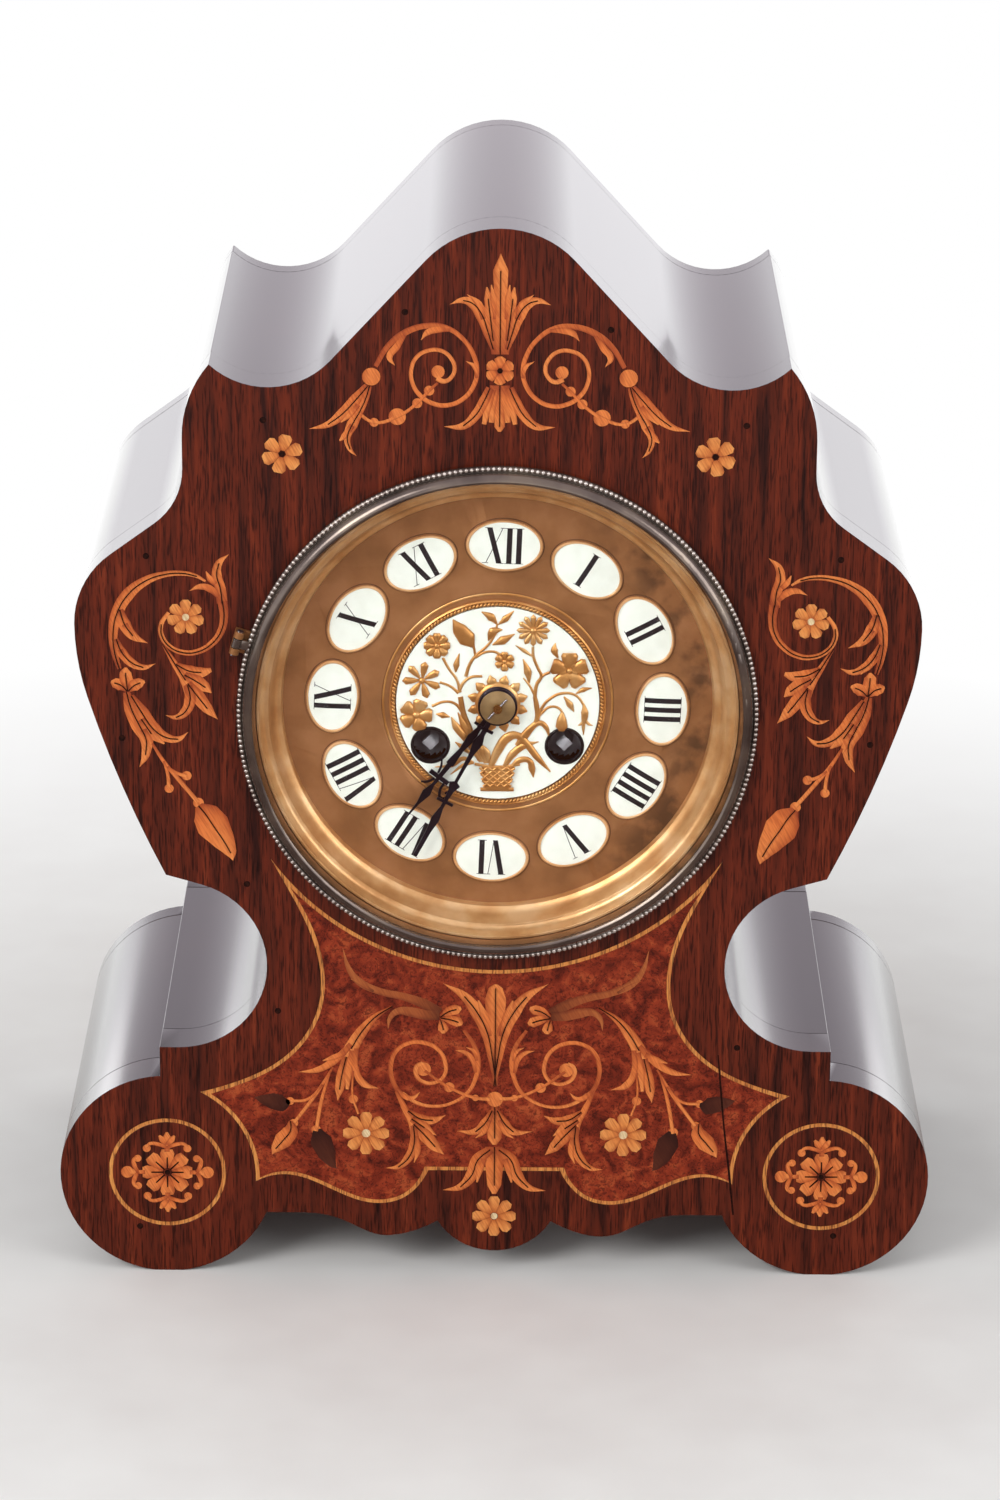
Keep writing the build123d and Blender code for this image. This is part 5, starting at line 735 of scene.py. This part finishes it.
# Marquetry of the shoulders, with a flower in each scroll
SHOULDER_FLOWERS = [(-103.8, 239.7), (103.8, 239.7)]
shoulders = mirrored(SHOULDER_SIDE)
laid_in("shoulder_marquetry", shoulders, both_sides(SHOULDER_BERRIES), satinwood)
laid_in("shoulder_engraving", veins(shoulders, 1.6), [], filler, 0.4)
flowers = [petal for x, z in SHOULDER_FLOWERS for petal in petals(x, z, 6.1, 1.9, 7, 0, 0.5)]
laid_in("shoulder_flowers", flowers, [], goldwood)
laid_in("shoulder_flower_eyes", [], [(x, z, 1.2) for x, z in SHOULDER_FLOWERS], holly, 0.12)

# Marquetry of the apron, laid over the burr panel; its flowers are (across, up, reach, petal, eye)
APRON_FLOWERS = [(-44.3, 52.7, 7.9, 2.1, 1.5), (44.3, 52.7, 7.9, 2.1, 1.5), (0, 21.6, 7.5, 2.0, 1.2)]
apron = APRON_MIDDLE + mirrored(APRON_SIDE)
laid_in("apron_marquetry", apron, both_sides(APRON_BEADS), satinwood)
laid_in("apron_engraving", veins(apron, 1.6), [], filler, 0.45)
laid_in("apron_brown_leaves", mirrored(APRON_BROWN), [], brownwood)
laid_in("apron_dark_leaves", mirrored(APRON_DARK), [], darkwood)
flowers = [
    petal for x, z, reach, half, eye in APRON_FLOWERS for petal in petals(x, z, reach, half, 8, 0, 0.6)
]
laid_in("apron_flowers", flowers, [], goldwood)
eyes = [(x, z, eye) for x, z, reach, half, eye in APRON_FLOWERS]
laid_in("apron_flower_eyes", [], eyes, holly, 0.14)

# Roundels of the feet: an eight petal rosette in four branched arms, upright ones and level ones by turns
ROUNDEL_ACROSS = 113.0
ROUNDEL_HEIGHT = 37.4
ARM_SCALE = 0.91
UPRIGHT_ARM = [[(0, 8.5, 0.9), (0, 11, 0.8), (0, 14, 1.6), (0, 16.6, 0.4)]] + mirrored([
    [(0, 11.5, 0.7), (-1.8, 13.6, 1.1), (-2.9, 15.2, 0.4)],
    [(0, 10.2, 0.6), (-3.4, 11.6, 0.7), (-6.4, 11.8, 0.6), (-7.9, 10.4, 0.5)],
])
UPRIGHT_KNOBS = [(-7.7, 9.9, 1.4), (7.7, 9.9, 1.4)]
LEVEL_ARM = [[(0, 8.5, 0.8), (0, 11, 0.7), (0, 14, 1.2)]] + mirrored([
    [(0, 11.2, 0.6), (-3.0, 12.6, 0.8), (-5.4, 12.6, 0.6), (-6.0, 11.4, 0.5)],
])
LEVEL_KNOBS = [(0, 15.2, 2.2), (-5.7, 11.2, 1.3), (5.7, 11.2, 1.3)]
for side, label in ((-1, "left"), (1, "right")):
    middle = Vector((side * ROUNDEL_ACROSS, ROUNDEL_HEIGHT))
    x, z = middle
    arms = []
    knobs = []
    for quarter in range(4):
        turn = Matrix.Rotation(quarter * pi / 2, 2)
        arm, ends = (LEVEL_ARM, LEVEL_KNOBS) if quarter % 2 else (UPRIGHT_ARM, UPRIGHT_KNOBS)
        for stroke in arm:
            arms.append([(*(middle + turn @ Vector((px, pz)) * ARM_SCALE), half) for px, pz, half in stroke])
        knobs += [(*(middle + turn @ Vector((px, pz)) * ARM_SCALE), radius) for px, pz, radius in ends]
    rosette = petals(x, z, 8.6, 2.5, 8, 0, 0.75)
    laid_in("roundel_marquetry_" + label, rosette + arms, knobs, satinwood)
    slits = []
    for way in (radians(45 * i) for i in range(8)):
        slits.append([(x + r * sin(way), z + r * cos(way), half) for r, half in ((1.4, 0.28), (5.6, 0.2))])
    laid_in("roundel_engraving_" + label, slits, [(x, z, 0.9)], filler, 0.2)

# Filled nail holes, and the shrinkage crack beside the apron
PLUGS = [
    (-31, 344.7), (36, 339.2), (-77.5, 307.9), (80.9, 307.1), (-116.6, 260.9), (113.1, 261.3),
    (-125.7, 196.9), (124.8, 196.4), (-84.4, 144.7), (-74.3, 98.2), (-122.8, 16.8), (82.8, 85.7),
    (117.8, 14.9),
]
crack = [[(76.4, 83.0, 0.2), (77.6, 70.0, 0.35), (79.1, 54.9, 0.3), (81.2, 38.0, 0.4), (82.9, 22.7, 0.3)]]
laid_in("nail_plugs", crack, [(x, z, 1.1) for x, z in PLUGS], filler, 0.06)


def serif(left, right, end):
    """The hairline across a numeral's bar, at its top where end is 1 and at its foot where it is -1."""
    return [(left, 6.1 * end, 0.1), (right, 6.1 * end, 0.1)]


# Enamel hour plaques, domed and oval, with black numerals fired on them; a letter is a width and strokes
PLAQUE_WIDE = 12.0
PLAQUE_HIGH = 8.3
DOME = 0.5
PRESSED_RIM = 1.0
NUMERAL_HIGH = 6.2
HOURS = ("XII", "I", "II", "III", "IIII", "V", "VI", "VII", "VIII", "IX", "X", "XI")
LETTERS = {
    "I": (3.2, [[(1.6, -7, 0.88), (1.6, 7, 0.88)], serif(0.1, 3.1, -1), serif(0.1, 3.1, 1)]),
    "V": (6.3, [
        [(0.9, 7, 0.9), (3.6, -7, 0.8)], [(3.9, -6.5, 0.12), (5.6, 6.5, 0.12)],
        serif(-0.4, 2.2, 1), serif(4.7, 6.4, 1),
    ]),
    "X": (6.4, [
        [(1.0, 7, 0.88), (5.0, -7, 0.88)], [(0.2, -6.5, 0.12), (5.8, 6.5, 0.12)],
        serif(-0.3, 2.3, 1), serif(3.7, 6.3, -1), serif(-0.9, 1.2, -1), serif(4.9, 6.6, 1),
    ]),
}
DOME_PROFILE = [(0.0, 0.0)] + [(r, -DOME * r * r) for r in (0.25, 0.5, 0.75, 0.9, 1.0)] + [(1.0, -1.2)]
RIM_PROFILE = [(0.985, -1.2), (0.985, -0.2), (1.01, 0.05), (1.04, 0.0), (1.065, -0.4), (1.065, -1.2)]
# A thin dark ring at the foot of each rim, flat on the dial: painted shade of the crease there, with some
# dirt
RIM_SHADE_AND_GRIME_PROFILE = [(0.995, -0.1), (1.0, 0.04), (1.02, 0.04), (1.03, -0.1)]
plaque_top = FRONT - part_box("hour_plaques")[0].y / MM
oval = Matrix.Diagonal((PLAQUE_WIDE, PLAQUE_HIGH, 1.0, 1.0))
round_rim = Matrix.Diagonal((PLAQUE_WIDE + PRESSED_RIM, PLAQUE_HIGH + PRESSED_RIM, 1.0, 1.0))
down_to_dial = Matrix.Translation((0.0, 0.0, -(DIAL_DEPTH + plaque_top) * MM))
domes = bmesh.new()
rims = bmesh.new()
rim_shade_and_grime_mesh = bmesh.new()
numerals = bmesh.new()
for hour, text in enumerate(HOURS):
    seat = (
        ON_DIAL @ Matrix.Rotation(-radians(30 * hour + DIAL_TURN), 4, "Z")
        @ Matrix.Translation((0.0, PLAQUE_RING * MM, plaque_top * MM))
    )
    joined(domes, spun(DOME_PROFILE, 40, seat @ oval))
    joined(rims, spun(RIM_PROFILE, 48, seat @ oval))
    joined(rim_shade_and_grime_mesh, spun(RIM_SHADE_AND_GRIME_PROFILE, 48, seat @ down_to_dial @ round_rim))
    strokes = []
    at = -sum(LETTERS[letter][0] for letter in text) / 2
    for letter in text:
        wide, parts = LETTERS[letter]
        strokes += [[(at + x, y, half) for x, y, half in part] for part in parts]
        at += wide
    numeral = drawn(strokes, steps=8)
    for end in (1, -1):
        bmesh.ops.bisect_plane(
            numeral, geom=numeral.verts[:] + numeral.edges[:] + numeral.faces[:],
            plane_co=(0, end * NUMERAL_HIGH * MM, 0), plane_no=(0, end, 0), clear_outer=True,
        )
    thickened(numeral, 0.06)
    for corner in numeral.verts:
        sideways, up = corner.co.x / (PLAQUE_WIDE * MM), corner.co.y / (PLAQUE_HIGH * MM)
        corner.co.z += (-DOME * (sideways ** 2 + up ** 2) - 0.03) * MM
    moved(numeral, seat)
    joined(numerals, numeral)
keep(domes, "enamel_plaques", "case", enamel, ("hour_plaques",))
keep(rims, "plaque_rims", "case", rim_gilding_rubbed_and_highlit)
keep(rim_shade_and_grime_mesh, "plaque_rim_painted_shade_and_dirt", "case", rim_shade_and_grime)
keep(numerals, "hour_numerals", "case", numeral_black)

# Gilt posy over the dial's enamel centre: stems, leaves, flowers, a woven basket and a rope border
# A flower is (across, up, eye, then its petals: reach, half width, count, turn and tip)
FLOWERS = [
    (-20.4, 20.3, 1.0, 4.4, 1.45, 8, 0, 0.7), (-25.4, 8.1, 1.2, 6.6, 1.35, 7, 10, 0.1),
    (-27.3, -4.2, 1.3, 5.4, 2.6, 5, 20, 0.75), (2.2, 14.9, 0.8, 3.3, 1.3, 6, 0, 0.7),
    (11.7, 25.9, 1.2, 5.6, 0.95, 12, 0, 0.1), (23.9, 11.8, 1.1, 6.2, 2.9, 5, 0, 0.8),
]
RELIEF = 1.05
ROPE_RADIUS = 35.0
ROPE_STRANDS = 170
flowers = [petal for x, z, eye, *shape in FLOWERS for petal in petals(x, z, *shape)]
flowers += petals(23.9, 11.8, 3.2, 1.4, 5, 36, 0.8) + petals(0.0, 0.0, 10.3, 1.7, 12, 15, 0.15, 0.5)
basket = [
    [(-7.6, -21.6, 0.5), (0.0, -22.6, 0.55), (7.6, -21.6, 0.5)], [(-5.6, -30.6, 0.7), (5.6, -30.6, 0.7)],
    [(0.0, -22.5, 5.2), (0.0, -26.5, 4.6), (0.0, -30.4, 4.2)],
]
weave = []
for row in range(6):
    for column in range(8):
        wide = 5.4 - 0.25 * row
        x = (column - 3.5) / 3.5 * wide
        z = -23.1 - 1.15 * row
        lean = 0.45 if (row + column) % 2 else -0.45
        weave.append([(x - 0.55, z - lean, 0.42), (x + 0.55, z + lean, 0.42)])
posy = drawn(POSY + flowers + basket, rods=True, steps=6)
for corner in posy.verts:
    corner.co.z = RELIEF * MM * tanh(0.7 * corner.co.z / (RELIEF * MM))
cane = drawn(weave, rods=True, steps=3)
moved(cane, Matrix.Translation((0, 0, 0.9 * MM)) @ Matrix.Diagonal((1, 1, 0.7, 1)))
joined(posy, cane)
for x, z, eye, *shape in FLOWERS:
    bmesh.ops.create_uvsphere(
        posy, u_segments=12, v_segments=8, radius=eye * MM,
        matrix=Matrix.Translation((x * MM, z * MM, 0.55 * MM)) @ Matrix.Diagonal((1, 1, 0.6, 1)),
    )
for strand in range(ROPE_STRANDS):
    twist = (
        Matrix.Rotation(2 * pi * strand / ROPE_STRANDS, 4, "Z")
        @ Matrix.Translation((ROPE_RADIUS * MM, 0, 0.2 * MM)) @ Matrix.Rotation(0.7, 4, "Z")
    )
    bmesh.ops.create_uvsphere(
        posy, u_segments=8, v_segments=5, radius=MM, matrix=twist @ Matrix.Diagonal((0.5, 0.95, 0.6, 1.0))
    )
moved(posy, ON_DIAL @ Matrix.Translation((0, 0, -ENAMEL_DEPTH * MM + 0.05 * MM)))
keep(posy, "gilt_posy", "case", posy_gilding, ("centre_relief",), 75)

# Gilt rings of the dial's middle, as segments and a profile of (radius, height over the board's front)
GILT_RINGS = {
    "hand_collar": (64, [
        (3.9, -11.2), (3.9, -10.0), (4.4, -9.75), (6.3, -9.75), (7.1, -10.0), (7.6, -10.6), (7.6, -11.2),
        (3.9, -11.2),
    ]),
    "centre_border": (128, [
        (35.5, -12.0), (35.5, -11.2), (35.9, -10.9), (36.3, -11.2), (36.3, -12.0), (35.5, -12.0),
    ]),
    "centre_ridge": (128, [
        (38.0, -12.0), (38.0, -11.85), (38.25, -11.7), (38.5, -11.7), (38.75, -11.85), (38.75, -12.0),
        (38.0, -12.0),
    ]),
}
for name, (segments, profile) in GILT_RINGS.items():
    keep(spun(profile, segments, ON_DIAL), name, "case", posy_gilding)

# Beading round the bezel
BEADS = 300
BEAD_RADIUS = 0.9
BEAD_ROW = 86.3
BEAD_HEIGHT = 3.2
beads = bmesh.new()
for step in range(BEADS):
    way = Matrix.Rotation(2 * pi * step / BEADS, 4, "Z")
    bmesh.ops.create_icosphere(
        beads, subdivisions=1, radius=BEAD_RADIUS * MM,
        matrix=ON_DIAL @ way @ Matrix.Translation((BEAD_ROW * MM, 0, BEAD_HEIGHT * MM)),
    )
keep(beads, "bezel_beads", "bezel", beading, sharp=80)


def pierced_hand(name, body, node_name, angle, depth, bore, stem, extras):
    """A sawn and filed steel hand: a boss, a stem with swellings, cross bars and curls."""
    hand = drawn([stem], corners=True, steps=1)
    joined(hand, drawn(extras, steps=6))
    thickened(hand, 0.62)
    moved(hand, Matrix.Translation((0, 0, -(depth + 0.66) * MM)))
    moved(hand, ON_DIAL @ Matrix.Rotation(-radians(angle), 4, "Z"))
    back = -depth - 0.7
    boss = [(bore, back), (bore, -depth), (6.2, -depth), (6.6, -depth - 0.3), (6.6, back), (bore, back)]
    joined(hand, spun(boss, 48, ON_DIAL))
    keep(hand, name, body, blued, (node_name,))


# The hands stand as in the photograph, with their strokes drawn upright from the arbor
pierced_hand(
    "hour_hand_blued", "hour_pipe", "hour_hand", HOUR_ANGLE, 8.6, 3.35,
    [(0, 5.5, 0.8), (0, 8, 0.85), (0, 10.5, 0.75), (0, 14.3, 1.5), (0, 20, 0.8), (0, 25.4, 1.35),
     (0, 26.4, 1.35), (0, 26.5, 0.85), (0, 31, 0.75), (0, 35.5, 0.5), (0, 39.2, 1.5), (0, 44, 0.5),
     (0, 50, 0.2)],
    [[(-2.5, 9.3, 0.45), (2.5, 9.3, 0.45)], [(-3.8, 32.2, 0.75), (3.8, 32.2, 0.75)],
     [(-2.6, 33.0, 0.4), (-3.2, 36.0, 0.45), (-5.0, 37.8, 0.5), (-6.4, 36.8, 0.55), (-5.9, 34.9, 0.5),
      (-5.0, 35.6, 0.3)],
     [(1.2, 31.2, 0.35), (1.9, 28.6, 0.4), (3.4, 26.2, 0.25)],
     [(1.0, 33.4, 0.35), (2.2, 35.9, 0.4), (3.9, 37.2, 0.25)]],
)
pierced_hand(
    "minute_hand_blued", "centre_arbor", "minute_hand", MINUTE_ANGLE, 6.9, 1.95,
    [(0, 5.5, 0.8), (0, 8.5, 0.85), (0, 11, 0.85), (0, 14.2, 1.75), (0, 18.6, 0.85), (0, 24.7, 0.6),
     (0, 30.2, 0.55), (0, 31.0, 2.0), (0, 33.6, 1.0), (0, 37, 0.65), (0, 40.5, 0.6), (0, 45, 1.45),
     (0, 50, 0.85), (0, 60, 0.7)],
    [[(-2.9, 8.9, 0.5), (2.9, 8.9, 0.5)], [(-3.0, 38.1, 0.5), (3.0, 38.1, 0.5)]],
)

# Studio: pale floor, which paints a dark tabletop as a reflection into the clock's front, glowing brown only
# in what the polish mirrors; white surroundings that are brightest along the horizon in what the polish
# mirrors; soft lamps
HORIZON = 1.45
floor_paint, tree, shader, place = mottled(
    "studio_floor_paper", "#efeeec", 40.0, 2.0, [(0.3, "#eceae8"), (0.7, "#f2f1ef")], Roughness=0.7
)
from_clock = node(tree, "VectorMath", {0: place.outputs["Object"]}, operation="LENGTH")
fade = ranged(tree, from_clock.outputs["Value"], 0.22, 0.6)
ray = node(tree, "LightPath")
glossy = ray.outputs["Is Glossy Ray"]
seen = maths(tree, "MAXIMUM", ray.outputs["Is Camera Ray"], glossy)
amount = maths(tree, "MULTIPLY", fade, seen)
glow = ranged(tree, glossy, 0.0, 1.0, 1.0, HORIZON)
white = node(tree, "Emission", {"Color": (1.0, 1.0, 1.0, 1.0), "Strength": glow})
paper = node(tree, "MixShader", {0: amount, 1: shader.outputs[0], 2: white.outputs[0]})
parts = node(tree, "SeparateXYZ", {"Vector": place.outputs["Object"]})
# Painted reflection: in front of the clock the floor glows a dark tabletop brown for the first glossy bounce
# only; no tabletop is there
front = ranged(tree, parts.outputs[1], -0.05, 0.1, 1.0, 0.0)
in_polish = maths(tree, "MINIMUM", glossy, ray.outputs["Glossy Depth"])
table_reflection_mask = maths(tree, "MULTIPLY", front, in_polish)
painted_table_reflection = node(tree, "Emission", {"Color": linear("#74493e"), "Strength": 1.0})
mirror = node(tree, "MixShader", {0: table_reflection_mask, 1: paper.outputs[0], 2: painted_table_reflection.outputs[0]})
tree.links.new(mirror.outputs[0], tree.nodes["Material Output"].inputs["Surface"])
ground = bmesh.new()
bmesh.ops.create_grid(ground, x_segments=1, y_segments=1, size=4.0)
sheet = bpy.data.meshes.new("studio_floor")
ground.to_mesh(sheet)
ground.free()
sheet.materials.append(floor_paint)
floor = bpy.data.objects.new("studio_floor", sheet)
scene.collection.objects.link(floor)

world = bpy.data.worlds.new("studio")
world.use_nodes = True
scene.world = world
tree = world.node_tree
ray = node(tree, "LightPath")
glossy = ray.outputs["Is Glossy Ray"]
seen = maths(tree, "MAXIMUM", ray.outputs["Is Camera Ray"], ray.outputs["Is Transmission Ray"])
level = ranged(tree, seen, 0.0, 1.0, 0.5, 1.0)
way = node(tree, "SeparateXYZ", {"Vector": node(tree, "TexCoord").outputs["Generated"]})
glow = ranged(tree, way.outputs[2], 0.0, 0.36, HORIZON, 0.95)
shown = ranged(tree, glossy, 0.0, 1.0, level, glow)
tree.links.new(shown, tree.nodes["Background"].inputs["Strength"])
tint = node(tree, "ValToRGB", {"Fac": way.outputs[2]}, [(0.03, "#fdfbff"), (0.36, "#f3e7f2")])
sky = node(
    tree, "MixRGB", {"Fac": glossy, "Color1": (1.0, 1.0, 1.0, 1.0), "Color2": tint.outputs[0]}
)
tree.links.new(sky.outputs[0], tree.nodes["Background"].inputs["Color"])

for name, spot, aim, size, power in (
    ("window_left", (-1.2, -1.5, 1.3), (0, 0, 0.2), 1.1, 22.0),
    ("window_right", (1.5, -1.2, 0.9), (0, 0, 0.2), 1.0, 9.5),
    ("screen_back_left", (-1.5, 1.5, 0.5), (0, 0, 0.25), 1.5, 11.0),
    ("screen_back_right", (1.5, 1.5, 0.5), (0, 0, 0.25), 1.5, 9.0),
):
    lamp = bpy.data.lights.new(name, "AREA")
    lamp.shape = "DISK"
    lamp.size = size
    lamp.energy = power
    holder = bpy.data.objects.new(name, lamp)
    scene.collection.objects.link(holder)
    holder.location = spot
    holder.rotation_euler = (Vector(aim) - Vector(spot)).to_track_quat("-Z", "Y").to_euler()

# Camera: looks down on the clock's middle, with the photograph's slight lean
CAMERA_TILT = radians(20)
CAMERA_LEAN = radians(0.42)
CAMERA_DISTANCE = 1675.28
CAMERA_AIM = Vector((0.9, FRONT, 193.6))
lens = bpy.data.cameras.new("camera")
lens.sensor_fit = "VERTICAL"
lens.sensor_height = 36.0
lens.lens = 120.0
lens.clip_end = 20.0
camera = bpy.data.objects.new("camera", lens)
scene.collection.objects.link(camera)
backward = Vector((0.0, -cos(CAMERA_TILT), sin(CAMERA_TILT)))
camera.matrix_world = (
    Matrix.Translation((CAMERA_AIM + backward * CAMERA_DISTANCE) * MM)
    @ Matrix.Rotation(pi / 2 - CAMERA_TILT, 4, "X") @ Matrix.Rotation(CAMERA_LEAN, 4, "Z")
)
scene.camera = camera
scene.view_settings.view_transform = "Standard"
